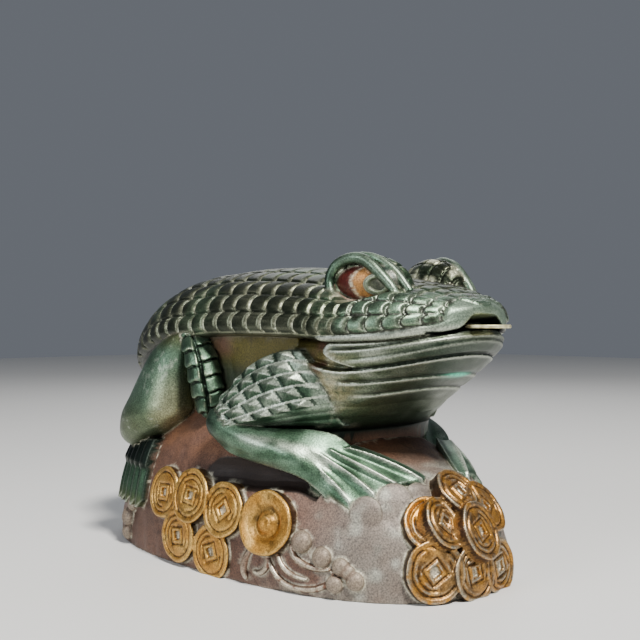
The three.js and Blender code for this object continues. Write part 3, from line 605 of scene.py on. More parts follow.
def back():
    """The scaled back and head, from the ledge on one side over the crest to the other."""
    column = np.linspace(0.10, COLUMNS - 0.03, COLUMNS * STEPS_PER_SCALE)[:, None]
    angle = np.linspace(-math.pi / 2, math.pi / 2, BACK_ROWS * STEPS_PER_SCALE + 1)[None, :]
    ledge_u, ledge_w, crest_u, crest_w, half = back_frame(column)
    out = np.sign(angle) * np.abs(np.sin(angle)) ** (2 / SECTION_POWER)
    up = np.maximum(np.cos(angle), 0) ** (2 / SECTION_POWER)
    forward = ledge_u + (crest_u - ledge_u) * up
    grid = place(forward, half * out, ledge_w + (crest_w - ledge_w) * up)
    normal = surface_normals(grid, place(mix(forward, 0.0, 0.15), half * out * 0.3, ledge_w - 25))
    height, cut, gap = scale_relief(column, angle)
    fade = np.clip(np.minimum(column, (COLUMNS - column) / 1.8), 0, 1)
    side = np.abs(np.degrees(angle))
    patch = smooth(COLUMNS - 3.3, COLUMNS - 2.8, column) * smooth(19, 24, side)
    keep = fade * (1 - patch)
    bottom = smooth(90, 86, side)
    cheek = smooth(COLUMNS - 10.5, COLUMNS - 6.8, column) * smooth(35, 48, side)
    deep = SCALE_RELIEF * (1 + 0.9 * cheek) * mix(1, 0.5, smooth(120, 134, ledge_u))
    grid = grid + normal * (deep * height * keep * mix(0.35, 1, bottom))[..., None]
    # Tones: pale cuts, partly a painted highlight, and 2.0 for painted shadow in the gaps between the cheek
    # tiles.
    arc_tone = np.where(keep > 0.3, cut * (1 - 0.3 * cheek), 0.0) - 0.7 * patch
    arc_tone = np.where(cheek * gap * keep > 0.4, 2.0, arc_tone)

    in_head = smooth(74, 84, ledge_u)
    band_half, band_up = lip_band(ledge_u, ledge_w, half, in_head)
    left = place(ledge_u, band_half, band_up)
    right = place(ledge_u, -band_half, band_up)[:, ::-1]
    rings = np.concatenate([grid, left, right], axis=1)
    # Behind the head the band under the ledge gets tone 0.35, which asks for painted shade; in the head it
    # gets -1 for the silvery lip.
    band_tone = np.broadcast_to(-in_head + 0.35 * (1 - in_head), left.shape[:2])
    tones = np.concatenate([arc_tone, band_tone, band_tone[:, ::-1]], axis=1)
    return tube("scales", rings, tones)


def trunk():
    """The plain flanks under the ledge of the back."""
    inset = track(TRUNK_LEVELS)
    column = np.linspace(0, RUMP_COLUMNS + MIDDLE_COLUMNS, 150)
    share = np.linspace(0, 1.03, 40)[:, None]
    ledge_u, ledge_w, _, _, half = back_frame(column)
    forward = RUMP_CENTRE + (ledge_u - RUMP_CENTRE) * (1 - inset(share) / RUMP_LENGTH)
    out = np.maximum(half * (1 - inset(share) / BACK_HALF_WIDTH), 0.5)
    up = mix(TRUNK_FOOT, ledge_w, share)
    near = place(forward, -out, up)
    far = place(forward, out, up)[:, ::-1]
    points = np.concatenate([near, far], axis=1)
    away = surface_normals(points, points * np.array([0.3, 0.9, 1.0]))
    return tube("flank", scooped(points, away))


# The throat

def throat_outline(reach, half):
    """Forward and left of a level line round the throat, from one rear end to the other."""
    turn = np.linspace(-math.pi / 2, math.pi / 2, 321)
    rear = np.linspace(0, 1, 24)[1:]
    radius = oval_reach(np.cos(turn) / (reach - THROAT_CENTRE), np.sin(turn) / half, THROAT_POWER)
    inset = THROAT_REAR_INSET * rear ** 1.5
    behind = mix(THROAT_CENTRE, THROAT_REAR, rear)
    forward = np.concatenate([behind[::-1], THROAT_CENTRE + radius * np.cos(turn), behind])
    return forward, np.concatenate([-(half - inset)[::-1], radius * np.sin(turn), half - inset])


def groove_height(groove, forward, reach):
    share = np.clip((forward - CHIN_START) / (reach - CHIN_START), 0, 1) ** 1.7
    dip = smooth(56, CHIN_START, forward)
    return mix(groove[0], groove[1], dip) + (groove[2] - groove[1]) * share


def groove_strength(line, forward):
    if line == len(GROOVE_STRENGTH):
        return 0.0
    return GROOVE_STRENGTH[line] * smooth(*GROOVE_FADE[line], forward)


def throat_line(line, t):
    """The throat's points and tones a share t of the way from one groove down to the next."""
    upper, lower = GROOVES[line], GROOVES[line + 1]
    swell = upper[5] * (4 * t * (1 - t)) ** 0.6
    reach = mix(upper[3], lower[3], t) + swell
    forward, left = throat_outline(reach, mix(upper[4], lower[4], t) + swell)
    top = lip_height(forward) if line == 1 else groove_height(upper, forward, reach)
    bottom = lip_height(forward) if line == 0 else groove_height(lower, forward, reach)
    up = mix(top, bottom, t)
    rim = 0.0
    if line < JAW_LINES:
        lobe_rear = LOBE_REAR + LOBE_ROUNDING * (2 * (up - LOBE_LOW) / (LOBE_HIGH - LOBE_LOW) - 1) ** 2
        left = left - np.sign(left) * LOBE_STEP * smooth(lobe_rear + 1.0, lobe_rear - 3.0, forward)
        rim = np.exp(-((forward - lobe_rear - 1.6) / 1.3) ** 2)
    below = (top - bottom) * t
    above = (top - bottom) * (1 - t)
    strength = groove_strength(line, forward)
    following = groove_strength(line + 1, forward)
    sink = strength * np.exp(-(below / 0.9) ** 2) + following * np.exp(-(above / 0.7) ** 2)
    lift = 0.5 * strength * np.exp(-((below - 1.8) / 0.7) ** 2)
    scale = 1 + (lift - sink) / np.maximum(np.hypot(forward - THROAT_CENTRE, left), 20)
    dark = np.clip(sink * 0.8, 0, 1)
    # Tone: dark in the grooves, and a painted highlight on the lifted band edges and round the lobe's rim.
    tone = np.where(dark > 0.15, dark, -np.clip(lift * 1.6 + rim, 0, 1))
    return place(THROAT_CENTRE + (forward - THROAT_CENTRE) * scale, left * scale, up), tone


def throat():
    """The banded throat bag with its rounded jaw lobes."""
    bands = range(len(GROOVES) - 1)
    lines = [throat_line(line, k / GROOVE_STEPS) for line in bands for k in range(GROOVE_STEPS)]
    rings, tones = zip(*lines)
    return tube("throat", np.array(rings), np.array(tones))


# Limbs

def level_limb(paint, stations, side, steps=70, sides=64, relief=None, tone=None):
    """Level ovals through stations of forward, sideways, up, half length and half thickness."""
    forward, out, up, length, thickness = resample(stations, steps).T[:, :, None]
    turn = full_turn(sides)[None, :]
    extra = relief(up, turn) if relief else 0.0
    x = (length + extra) * np.cos(turn)
    y = (thickness + extra) * np.sin(turn)
    tones = tone(up, turn) if tone else 0.0
    return tube(paint, place(forward + x, side * (out + y), up + 0 * turn), tones)


def reaching_limb(paint, stations, side):
    """Upright ovals through stations of forward, sideways, up, half thickness and half height."""
    forward, out, up, thickness, height = resample(stations, 70).T
    heading = np.arctan2(np.gradient(out), np.gradient(forward))[:, None]
    turn = full_turn(48)[None, :]
    x = thickness[:, None] * np.cos(turn)
    rise = height[:, None] * np.sin(turn)
    return tube(paint, place(
        forward[:, None] - x * np.sin(heading),
        side * (out[:, None] + x * np.cos(heading)),
        up[:, None] + rise,
    ))


def thigh_blocks(up, turn):
    """Two columns of stepped blocks down the outer face of the thigh."""
    bearing = np.mod(np.degrees(turn) + 60, 360) - 60
    lane = np.where(bearing < THIGH_SEAM, 0.0, 1.0)
    t = np.mod((150 - up) / THIGH_PITCH + lane * 0.5 + 0.1 * np.cos(np.radians(bearing * 5)), 1)
    apart = np.abs(bearing - THIGH_SEAM)
    block = smooth(0, 0.14, t) * (0.5 + 0.5 * t) * smooth(1.0, 0.93, t)
    seam = smooth(8, 2, apart)
    face = smooth(-25, -10, bearing) * smooth(160, 140, bearing)
    return block, t, seam, face


def thigh_relief(up, turn):
    block, _, seam, face = thigh_blocks(up, turn)
    return (3.2 * block * (1 - seam) - 1.0 * seam) * face


def thigh_tone(up, turn):
    _, t, seam, face = thigh_blocks(up, turn)
    # Dark in the gaps and seams as painted shade, with a painted highlight on the raised end of each block.
    gap = np.maximum(smooth(0.14, 0.05, t), smooth(0.95, 0.98, t))
    lit = smooth(0.6, 0.9, t) * (1 - gap) * (1 - seam)
    return (np.maximum(gap, seam) - 0.5 * lit) * face


def arm_tiles(s, row):
    """Height of the pyramid tiles, their lit faces, the lines between rows and those between tiles."""
    tile_x = np.mod(s * ARM_TILES - 0.15 * np.mod(row, 1) + 0.3 * np.mod(np.floor(row), 2), 1)
    tile_y = np.mod(row, 1)
    peak_x, peak_y = ARM_PEAK
    front_face, lower_face = (1 - tile_x) / (1 - peak_x), (1 - tile_y) / (1 - peak_y)
    upper_face = tile_y / peak_y
    rise = np.minimum(np.minimum(tile_x / peak_x, front_face), np.minimum(upper_face, lower_face))
    lit = (front_face <= rise + 0.001) | (upper_face <= rise + 0.001)
    row_line = smooth(0.1, 0.03, np.minimum(tile_y, 1 - tile_y))
    return rise, lit, row_line, smooth(0.1, 0.03, np.minimum(tile_x, 1 - tile_x))


def upper_arm(side):
    """The upper arm: rows of pyramid tiles, with plain folds below them."""
    s = np.linspace(0, 1, 151)[:, None]
    scaled = 100
    folded = 30
    j = np.arange(scaled + folded + 1)[None, :]
    in_scales = j <= scaled
    t_scales = np.clip(j / scaled, 0, 1)
    t_folds = np.clip((j - scaled) / folded, 0, 1)
    top, foot, fold = (
        resample(edge, 151)[:, None, :] for edge in (ARM_TOP_EDGE, ARM_SCALE_EDGE, ARM_FOLD_EDGE)
    )
    upper = top + (foot - top) * t_scales[..., None]
    lower = foot + (fold - foot) * t_folds[..., None]
    at = np.where(in_scales[..., None], upper, lower)
    forward, reach, up = at[..., 0], at[..., 1], at[..., 2]
    fill = np.minimum(1, np.minimum(0.45 + s * 5, 0.35 + (1 - s) * 4))
    across = j / (scaled + folded)
    round_ = np.sqrt(1 - 0.92 * (2 * across - 1) ** 2)
    row = t_scales ** ARM_ROW_SPREAD * ARM_ROWS
    rise, lit, row_line, gap = arm_tiles(s, row)
    pyramid = np.where(in_scales, rise, 0)
    row_line = np.where(in_scales, row_line, 0)
    ridge = np.where(in_scales, 0, np.abs(np.sin(math.pi * t_folds * ARM_FOLDS)) ** 0.7 * s)
    out = reach - ARM_ROUNDING * (1 - round_ * fill) + (ARM_RELIEF * pyramid + 1.8 * ridge) * fill
    out = out + 0.7 * row_line * fill
    forward = forward + ARM_END_BULGE * np.sin(math.pi * np.clip(across * 1.1, 0, 1)) ** 0.8 * s ** 4
    # Tones: a painted highlight on the tile faces turned to the light and on the raised lines between rows,
    # and painted shade on the other faces, in the gaps, on the top row and between the folds.
    fold_line = smooth(0.25, 0.0, ridge / np.maximum(s, 0.05))
    tone = np.where(in_scales, np.where(lit, -0.45, 0.3), fold_line * 0.8)
    tone = np.where(in_scales & (gap > 0.5), 0.9, tone)
    tone = np.where(row_line > 0.5, -0.9, tone)
    tone = np.where(in_scales & (row < 0.15), 0.6, tone)
    outer = place(forward, side * out, up)
    core = place(forward, side * ARM_CORE + 0 * out, up)
    return slab("arm", outer, core, tone)


def forearm_top(side):
    """The broad rounded top of the forearm, from the crease over the crown to the lower edge."""
    crease, crown, lower = (
        resample(edge, 90)[:, None, :] for edge in (FOREARM_CREASE, FOREARM_CROWN, FOREARM_LOWER)
    )
    t = np.linspace(0, 1, 40)[None, :, None]
    if side > 0:
        for edge in (crease, crown, lower):
            edge[..., 0] -= FAR_WRIST_SHIFT * smooth(45, 85, edge[..., 0])
    outer = bow(crease, crown, lower, t)
    inner = outer * np.array([1.0, 0.0, 1.0]) + np.array([0.0, 1.0, 0.0]) * (outer[..., 1:2] * 0.55 + 12)
    inner[..., 2] = mix(outer[..., 2], 70.0, 0.5)
    outer = place(outer[..., 0], side * outer[..., 1], outer[..., 2])
    inner = place(inner[..., 0], side * inner[..., 1], inner[..., 2])
    share = np.broadcast_to(t[..., 0], outer.shape[:2])
    along = np.linspace(0, 1, 90)[:, None]
    # A painted highlight along the crown of the forearm.
    crown_highlight = np.exp(-((share - 0.42) / 0.16) ** 2) * smooth(0.1, 0.3, along) * smooth(0.95, 0.75, along)
    return slab("foot", outer, inner, -0.55 * crown_highlight, FOOT_BLEND)


def forefoot(side):
    """Ridges down the toes with hollow webs between them."""
    steps, per = 80, 12
    lines = np.array(TOE_LINES, dtype=float)
    k = np.linspace(0, len(lines) - 1, (len(lines) - 1) * per + 1)
    low = np.minimum(k.astype(int), len(lines) - 2)
    part = k - low
    web_first = low % 2 == 0
    to_toe = np.where(web_first, part, 1 - part)
    row = lines[low] + (lines[low + 1] - lines[low]) * part[:, None]
    web = np.where(web_first[:, None], lines[low], lines[low + 1])
    toe = np.where(web_first[:, None], lines[low + 1], lines[low])
    s = np.linspace(0, 1, steps)[:, None]

    def along(table, column, at):
        start, middle, end = table[:, column], table[:, column + 3], table[:, column + 6]
        return start * 2 * (at - 0.5) * (at - 1) + middle * 4 * at * (1 - at) + end * 2 * at * (at - 0.5)

    reach = s * (1 - WEB_BITE * (1 - to_toe ** 2))
    forward, out = along(row, 0, reach), along(row, 1, reach)
    if side > 0:
        out = out + FAR_FOOT_SHIFT
    ground = mound_top(forward, out)
    crest = to_toe ** 2.2
    lift = mix(along(web, 2, s), along(toe, 2, s), crest)
    lift = lift - 2.2 * smooth(0.94, 1.0, s) ** 2 * (to_toe > 0.6)
    top = place(forward, side * out, ground + lift)
    under_forward = mix(forward, 86.0, 0.16)
    under_out = mix(out, 38.0, 0.16)
    under = place(under_forward, side * under_out, ground - 9)
    # A painted highlight along the crests of the toes.
    ridge = smooth(0.55, 0.95, to_toe) * smooth(0.0, 0.3, s) * 0.8
    return slab("foot", top, under, -ridge, FOOT_BLEND)


def hind_foot(side):
    """The ribbed block of the hind foot against the mound's wall."""
    per = 8
    columns = 2 * HIND_TOES * per
    j = np.linspace(0, 2 * HIND_TOES, columns + 1)[None, :]
    toe = (1 - np.cos(math.pi * j)) / 2
    low = HIND_FOOT_FOOT + 5 * (1 - toe)
    i = np.linspace(0, 1, 50)[:, None]
    height = mix(HIND_FOOT_TOP, low, i)
    forward = mix(*HIND_FOOT_SPAN, j / (2 * HIND_TOES))
    oval = wall_inset(height / mound_height(forward)) ** MOUND_PLAN_POWER
    rest = oval - (np.abs(forward) / MOUND_HALF_LENGTH) ** MOUND_PLAN_POWER
    out = MOUND_HALF_WIDTH * np.maximum(rest, 0) ** (1 / MOUND_PLAN_POWER)
    cuff = 2.2 * smooth(50, 55, height)
    lift = mix(2.4, 4.4, toe ** 0.8) + cuff
    top = place(forward - lift * 0.4, side * (out + lift), height)
    buried = place(forward + 3 + 0 * height, side * (out - 8), height)
    # The tone darkens the grooves between the toes as painted shade.
    return slab("hindfoot", top, buried, np.broadcast_to(smooth(0.25, 0.0, toe), height.shape))


# Eyes

def splayed(side, forward, left, up, centre, radii):
    """Points given along an eye's own axes, set at its place with its splay."""
    c, s = turned(EYE_SPLAY)
    u, v = forward * radii[0], left * radii[1]
    return place(centre[0] + u * c + v * s, side * (centre[1] + v * c - u * s), centre[2] + up * radii[2])


def tile_share(degrees, pitch):
    """1 on tiles of a pitch in degrees, falling to 0 on the lines between them."""
    return smooth(1.0, 0.72, np.abs(np.mod(degrees / pitch, 1) - 0.5) * 2)


def eye_mound(side):
    """The tiled bulge of the head over an eye."""
    tilt, turn, x, y, z = ball_grid(110, 160, 0.02)
    tile = tile_share(np.degrees(tilt), 22) * tile_share(np.degrees(turn), 24)
    grow = 1 + 0.075 * tile
    points = splayed(side, x * grow, y * grow, z * grow, EYE_CENTRE, EYE_RADII)
    return tube("eyetop", points, (1 - tile) * 0.8)


def pupil_distance(forward, up):
    return np.hypot((forward - PUPIL_PLACE[0]) / PUPIL_STRETCH, up - PUPIL_PLACE[1])


def eyeball(side):
    """A shallow ball with a raised ring and a hollowed disc for the pupil."""
    _, _, x, y, z = ball_grid(130, 200, 0.02)
    points = splayed(side, x, y, z, EYEBALL_CENTRE, EYEBALL_RADII)
    r = pupil_distance(-points[..., 1], points[..., 2])
    ring = 1.5 * smooth(6.4, 4.9, r) - 1.7 * smooth(3.7, 3.1, r)
    outward = smooth(0.2, 0.5, y)
    points[..., 0] += side * ring * outward * 0.9
    points[..., 1] -= ring * outward * 0.4
    return tube("eyeball", points)


def eye_opening(side):
    """The cutter that opens the head in front of the eyeball."""
    outline = np.array(EYE_OPENING + EYE_OPENING[:1], dtype=float)
    path = resample(outline, 97)[:-1]
    middle = path.mean(axis=0)
    rings = []
    for out, grow in OPENING_RINGS:
        spot = middle + (path - middle) * grow
        rings.append(place(spot[:, 0] + 0.1 * (out - 41), side * out, spot[:, 1]))
    return tube("cut", np.array(rings))


# Coins, foam and waves

def coin_face(share, square, around, radius, kind):
    """Depth of a coin's face and its line paint, from the share of its radius and a square frame."""
    if kind == "boss":
        well = np.exp(-((share - 0.42) / 0.16) ** 2)
        face = -2.8 * well - 0.6 * smooth(0.2, 0.0, share) + 0.4 * smooth(0.7, 0.95, share)
        # The ring groove is painted dark, darker on one side as painted shade.
        return face, 0.55 * smooth(0.2, 0.9, well) * (0.6 + 0.4 * np.sin(around - 0.6))
    width = 0.6 if kind == "thin" else 0.8
    depth = 1.1 if kind == "thin" else 1.4
    arcs = smooth(-0.2, 0.3, np.sin(around * 1.5 + radius * 9))
    rim = -depth * np.exp(-((share - 0.78) * radius / width) ** 2)
    inner = -depth * np.exp(-((share - 0.58) * radius / width) ** 2) * smooth(6.0, 6.8, square) * arcs
    border = -depth * np.exp(-((square - 5.4) / width) ** 2) * smooth(0.6, 0.54, share)
    hole = -2.8 * smooth(3.0, 2.5, square)
    line = np.clip(-(rim + inner + border) / depth * 1.5 - 0.45, 0, 1)
    return rim + inner + border + hole, np.where(square < 2.7, -1.0, line)


def relief_coin(degrees, height, radius, lift, turn, spin, kind):
    """A coin carved from the mound's wall, its rim run into the wood."""
    centre, side, upward, normal = wall_frame(degrees, height, turn)
    r = np.concatenate([np.linspace(0.02, 0.96, 60), [0.98, 0.995, 1.0, 1.0]])[:, None] * radius
    around = full_turn(180)[None, :]
    ragged = 1 + 0.012 * np.sin(around * 3 + degrees) + 0.008 * np.sin(around * 7 + height)
    x, y = r * np.cos(around) * ragged, r * np.sin(around) * ragged
    c, s = turned(spin)
    square = np.maximum(np.abs(x * c + y * s), np.abs(y * c - x * s) * 1.06)
    face, line = coin_face(r / radius, square, around, radius, kind)
    line = line + 0 * x
    top = lift + face + 0 * x
    top[-4:] = np.array([lift - 0.15, lift - 0.5, lift - 1.3, -9.0])[:, None]
    # The wall round the coin gets tone -0.5, which the gold paint darkens as painted shadow.
    line[-2:] = -0.5
    points = centre + x[..., None] * side + y[..., None] * upward + top[..., None] * normal
    return tube("gold", points, line)


def foam_ball(degrees, height, radius, paint="foam", tall=1.0, bulge=0.8, lean=0.0, tail=0.0):
    """A ball, or a flat lobe that leans out at its top, set on the mound's wall."""
    centre, side, upward, normal = wall_frame(degrees, height)
    c, s = turned(lean)
    upward, normal = upward * c + normal * s, normal * c - upward * s
    _, _, z, x, y = ball_grid(30, 48, 0.03)
    points = x[..., None] * side + tall * y[..., None] * upward + z[..., None] * normal * bulge
    low = np.minimum(y, 0)[..., None]
    points = points + tail * low * (tall * upward + LOBE_SINK * normal)
    return tube(paint, centre + radius * points)


def wave_ridge(line, radius):
    return path_tube("ridge", [tuple(wall_frame(*spot)[0]) for spot in line], radius)


def wave_hollow(upper, lower, depth):
    """A concave band between two ridges of the wave, as a cutter."""
    path = []
    for a, b in zip(resample(upper, 8), resample(lower, 8)):
        spot = (a + b) / 2
        point, _, _, normal = wall_frame(*spot)
        path.append(tuple(point + normal * (WAVE_HOLLOW_RADIUS - depth)))
    return path_tube("wave", path, WAVE_HOLLOW_RADIUS)


def base_solids():
    hollows = [wave_hollow(*band) for band in WAVE_BANDS]
    for side in (-1, 1):
        hollows.append(path_tube("hollow", mirrored(HOLLOW, side), HOLLOW_RADIUS, thin=0.85))
    raised = [relief_coin(*coin) for coin in COINS]
    raised += [foam_ball(*ball) for ball in FOAM_BALLS + PEBBLES]
    raised += [foam_ball(*lobe[:3], "mound", lobe[3], LOBE_BULGE, LOBE_LEAN, LOBE_TAIL) for lobe in LOBES]
    raised += [wave_ridge(*ridge) for ridge in WAVE_RIDGES]
    return [("add", [mound()]), ("cut", hollows), ("add", raised)]


def body_solids():
    sockets, eyes = [], []
    for side in (-1, 1):
        sockets.append(eye_opening(side))
        eyes.append(eyeball(side))
        for paint, line, radius, steps in EYE_RIDGES:
            eyes.append(path_tube(paint, mirrored(line, side), radius, steps))
    head = [back(), trunk(), throat(), eye_mound(-1), eye_mound(1)]
    return [("add", head), ("cut", sockets), ("add", eyes)]


def limb_solids():
    solids = []
    for side in (-1, 1):
        solids.append(upper_arm(side))
        solids.append(reaching_limb("foot", FOREARM_STATIONS, side))
        solids.append(forearm_top(side))
        solids.append(forefoot(side))
        solids.append(level_limb("shin", SHIN_STATIONS, side))
        solids.append(level_limb("thigh", THIGH_STATIONS, side, 90, 120, thigh_relief, thigh_tone))
        solids.append(hind_foot(side))
    return [("add", solids)]


# Volume work

def mouth_slot_distance(places):
    """Signed distance, roughly, to the slit of the mouth: negative inside it."""
    side = np.abs(places[..., 0])
    forward, up = -places[..., 1], places[..., 2]
    rise = np.clip(forward - SLOT_RISE_START, 0, SLOT_RISE_LENGTH) * SLOT_RISE_SLOPE
    roof = np.interp(side, *zip(*SLOT_ROOF)) + rise * smooth(20, 8, side)
    floor = np.interp(side, *zip(*SLOT_FLOOR))
    return np.maximum(np.maximum(up - roof, floor - up) * 0.9, SLOT_END - forward)


def lattice_corners(base, part):
    """The eight lattice points round each place, with the weight each one has there."""
    for corner in np.ndindex(2, 2, 2):
        corner = np.array(corner)
        yield base + corner, np.prod(np.where(corner == 1, part, 1 - part), axis=1)


class Volume:
    """Signed distances of one group of solids and of each paint in it, on a lattice."""

    def __init__(self, steps):
        added = [solid for kind, solids in steps for solid in solids if kind == "add"]
        low = np.min([s.points.min(axis=0) for s in added], axis=0) - 3 * VOXEL
        high = np.max([s.points.max(axis=0) for s in added], axis=0) + 3 * VOXEL
        low[2] = max(low[2], -3 * VOXEL)
        self.low = np.floor(low / VOXEL).astype(int)
        size = np.ceil(high / VOXEL).astype(int) - self.low + 1
        self.whole = np.full(size, BAND * VOXEL, dtype=np.float32)
        self.paints = {}
        self.cuts = {}
        for kind, solids in steps:
            for solid in solids:
                spot, part = self.distances(solid)
                if kind == "add":
                    self.add(solid.paint, spot, part, solid.blend)
                else:
                    self.cut(solid.paint, spot, part)
        self.keep_above_floor()

    def distances(self, solid):
        """Where a solid lies on the lattice, and its distances there."""
        grid = openvdb.FloatGrid.createLevelSetFromPolygons(
            solid.points.astype(np.float32),
            triangles=solid.triangles if len(solid.triangles) else None,
            quads=solid.quads,
            transform=openvdb.createLinearTransform(voxelSize=VOXEL),
            halfWidth=BAND,
        )
        start, end = (np.array(corner) for corner in grid.evalActiveVoxelBoundingBox())
        start = np.maximum(start, self.low)
        end = np.minimum(end, self.low + np.array(self.whole.shape) - 1)
        part = np.zeros(tuple(end - start + 1), dtype=np.float32)
        grid.copyToArray(part, ijk=tuple(int(n) for n in start))
        return tuple(slice(a, b) for a, b in zip(start - self.low, end - self.low + 1)), part

    def keep(self, fields, name, spot, part):
        if name not in fields:
            fields[name] = np.full(self.whole.shape, BAND * VOXEL, dtype=np.float16)
        fields[name][spot] = np.minimum(fields[name][spot], part)

    def add(self, paint, spot, part, blend):
        whole = self.whole[spot]
        joined = np.minimum(whole, part)
        if blend:
            share = np.clip(0.5 + 0.5 * (whole - part) / blend, 0, 1)
            joined = mix(whole, part, share) - blend * share * (1 - share)
        self.whole[spot] = joined
        self.keep(self.paints, paint, spot, part)

    def cut(self, name, spot, part):
        self.whole[spot] = np.maximum(self.whole[spot], -part)
        for field in self.paints.values():
            field[spot] = np.maximum(field[spot], -part.astype(np.float16))
        self.keep(self.cuts, name, spot, part)

    def keep_above_floor(self):
        up = np.arange(self.whole.shape[2]) + self.low[2]
        floor = (FLOOR_GAP - up * VOXEL).astype(np.float32)
        self.whole = np.maximum(self.whole, floor[None, None, :])

    def cut_mouth(self):
        i, j, k = (np.arange(n) + low for n, low in zip(self.whole.shape, self.low))
        half, rear, bottom, top = SLOT_BOX
        across = np.abs(i * VOXEL) < half
        near = j * VOXEL < -rear
        above = (k * VOXEL > bottom) & (k * VOXEL < top)
        places = np.stack(np.meshgrid(i[across], j[near], k[above], indexing="ij"), axis=-1) * VOXEL
        slot = mouth_slot_distance(places).astype(np.float32)
        box = np.ix_(across, near, above)
        self.whole[box] = np.maximum(self.whole[box], -slot)

    def sample(self, field, points):
        """Distances at places in millimetres, by linear steps between lattice points."""
        at = points / VOXEL - self.low
        top = np.array(self.whole.shape) - 1
        outside = np.any((at < 0) | (at > top), axis=1)
        at = np.clip(at, 0, top)
        base = np.minimum(np.floor(at).astype(int), top - 1)
        total = np.zeros(len(points))
        for spots, weight in lattice_corners(base, at - base):
            total += weight * field[tuple(spots.T)].astype(float)
        return np.where(outside, BAND * VOXEL, total)

    def polygons(self):
        grid = openvdb.FloatGrid(BAND * VOXEL)
        grid.transform = openvdb.createLinearTransform(voxelSize=VOXEL)
        grid.copyFromArray(self.whole, ijk=tuple(int(n) for n in self.low))
        return grid.convertToPolygons(isovalue=SEAM, adaptivity=0.0)


def box_blur(field, radius):
    """Mean over a cube of lattice points, by running sums."""
    for axis in range(3):
        padded = np.concatenate([
            np.repeat(np.take(field, [0], axis), radius + 1, axis),
            field,
            np.repeat(np.take(field, [-1], axis), radius, axis),
        ], axis)
        total = np.cumsum(padded, axis=axis, dtype=np.float64)
        count = field.shape[axis]
        ahead = np.take(total, range(2 * radius + 1, 2 * radius + 1 + count), axis)
        behind = np.take(total, range(count), axis)
        field = ((ahead - behind) / (2 * radius + 1)).astype(np.float32)
    return field


def lattice_noise(points, size, seed):
    """Smooth value noise between -1 and 1, from a seeded table."""
    table = np.random.default_rng(seed).uniform(-1, 1, (NOISE_TABLE,) * 3)
    at = points / size
    base = np.floor(at).astype(int)
    part = at - base
    part = part * part * (3 - 2 * part)
    total = np.zeros(len(points))
    for spots, weight in lattice_corners(base, part):
        total += weight * table[tuple(np.mod(spots, NOISE_TABLE).T)]
    return total


def visible_faces(points, quads, others):
    """The faces that don't lie well inside another piece."""
    depth = np.min([v.sample(v.whole, points) for v in others], axis=0)
    buried = depth < -HIDDEN_DEPTH
    return quads[~np.all(buried[quads], axis=1)]


NO_FACES = np.zeros((0, 3), dtype=int)


def mesh_object(name, points, quads, triangles):
    """A new object from points in millimetres, without the points that no face uses."""
    used = np.unique(np.concatenate([quads.reshape(-1), triangles.reshape(-1)]).astype(int))
    renumber = np.zeros(len(points), dtype=int)
    renumber[used] = np.arange(len(used))
    mesh = bpy.data.meshes.new(name)
    faces = [tuple(face) for group in (quads, triangles) for face in renumber[group.astype(int)].tolist()]
    mesh.from_pydata((points[used] * MM).tolist(), [], faces)
    mesh.update()
    obj = bpy.data.objects.new(name, mesh)
    bpy.context.scene.collection.objects.link(obj)
    return obj


def islands(count, faces):
    """One label per point, the same for all points that faces join."""
    label = np.arange(count)
    while True:
        lowest = np.repeat(label[faces].min(axis=1), faces.shape[1])
        joined = label.copy()
        np.minimum.at(joined, faces.reshape(-1), lowest)
        joined = joined[joined]
        if np.array_equal(joined, label):
            return label
        label = joined


def sound_faces(places, faces):
    """The triangles without flat slivers, doubled faces and crumbs beside the surface."""
    a, b, c = (places[faces[:, k]] for k in range(3))
    area = np.linalg.norm(np.cross(b - a, c - a), axis=1)
    _, which, counts = np.unique(np.sort(faces, axis=1), axis=0, return_inverse=True, return_counts=True)
    faces = faces[(area > 0) & (counts[which.reshape(-1)] == 1)]
    label = islands(len(places), faces)[faces[:, 0]]
    return faces[np.bincount(label)[label] >= CRUMB_FACES]


def thinned(obj, count):
    """A new object with a sound mesh of about TRIANGLES triangles, from a dense one of that count."""
    name = obj.name
    thin = obj.modifiers.new("thin", "DECIMATE")
    thin.ratio = min(1.0, TRIANGLES / count)
    thin.use_collapse_triangulate = True
    graph = bpy.context.evaluated_depsgraph_get()
    mesh = bpy.data.meshes.new_from_object(obj.evaluated_get(graph))
    dense = obj.data
    bpy.data.objects.remove(obj)
    bpy.data.meshes.remove(dense)
    places = vertex_places(mesh)
    corners = np.empty(len(mesh.loops), dtype=np.int32)
    mesh.loops.foreach_get("vertex_index", corners)
    bpy.data.meshes.remove(mesh)
    return mesh_object(name, places, NO_FACES, sound_faces(places, corners.reshape(-1, 3)))


def vertex_places(mesh):
    """The places of a mesh's points in millimetres."""
    places = np.empty(len(mesh.vertices) * 3)
    mesh.vertices.foreach_get("co", places)
    return places.reshape(-1, 3) / MM


def set_attribute(obj, name, values):
    attribute = obj.data.attributes.new(name, "FLOAT", "POINT")
    attribute.data.foreach_set("value", np.asarray(values, dtype=np.float32))


def set_colour(obj, name, colours):
    attribute = obj.data.attributes.new(name, "FLOAT_COLOR", "POINT")
    rgba = np.concatenate([colours, np.ones((len(colours), 1))], axis=1)
    attribute.data.foreach_set("color", rgba.astype(np.float32).reshape(-1))


# Paint

def srgb(red, green, blue):
    """A linear colour from one given as screen values up to 255."""
    values = np.array([red, green, blue]) / 255
    return np.where(values <= 0.04045, values / 12.92, ((values + 0.055) / 1.055) ** 2.4)


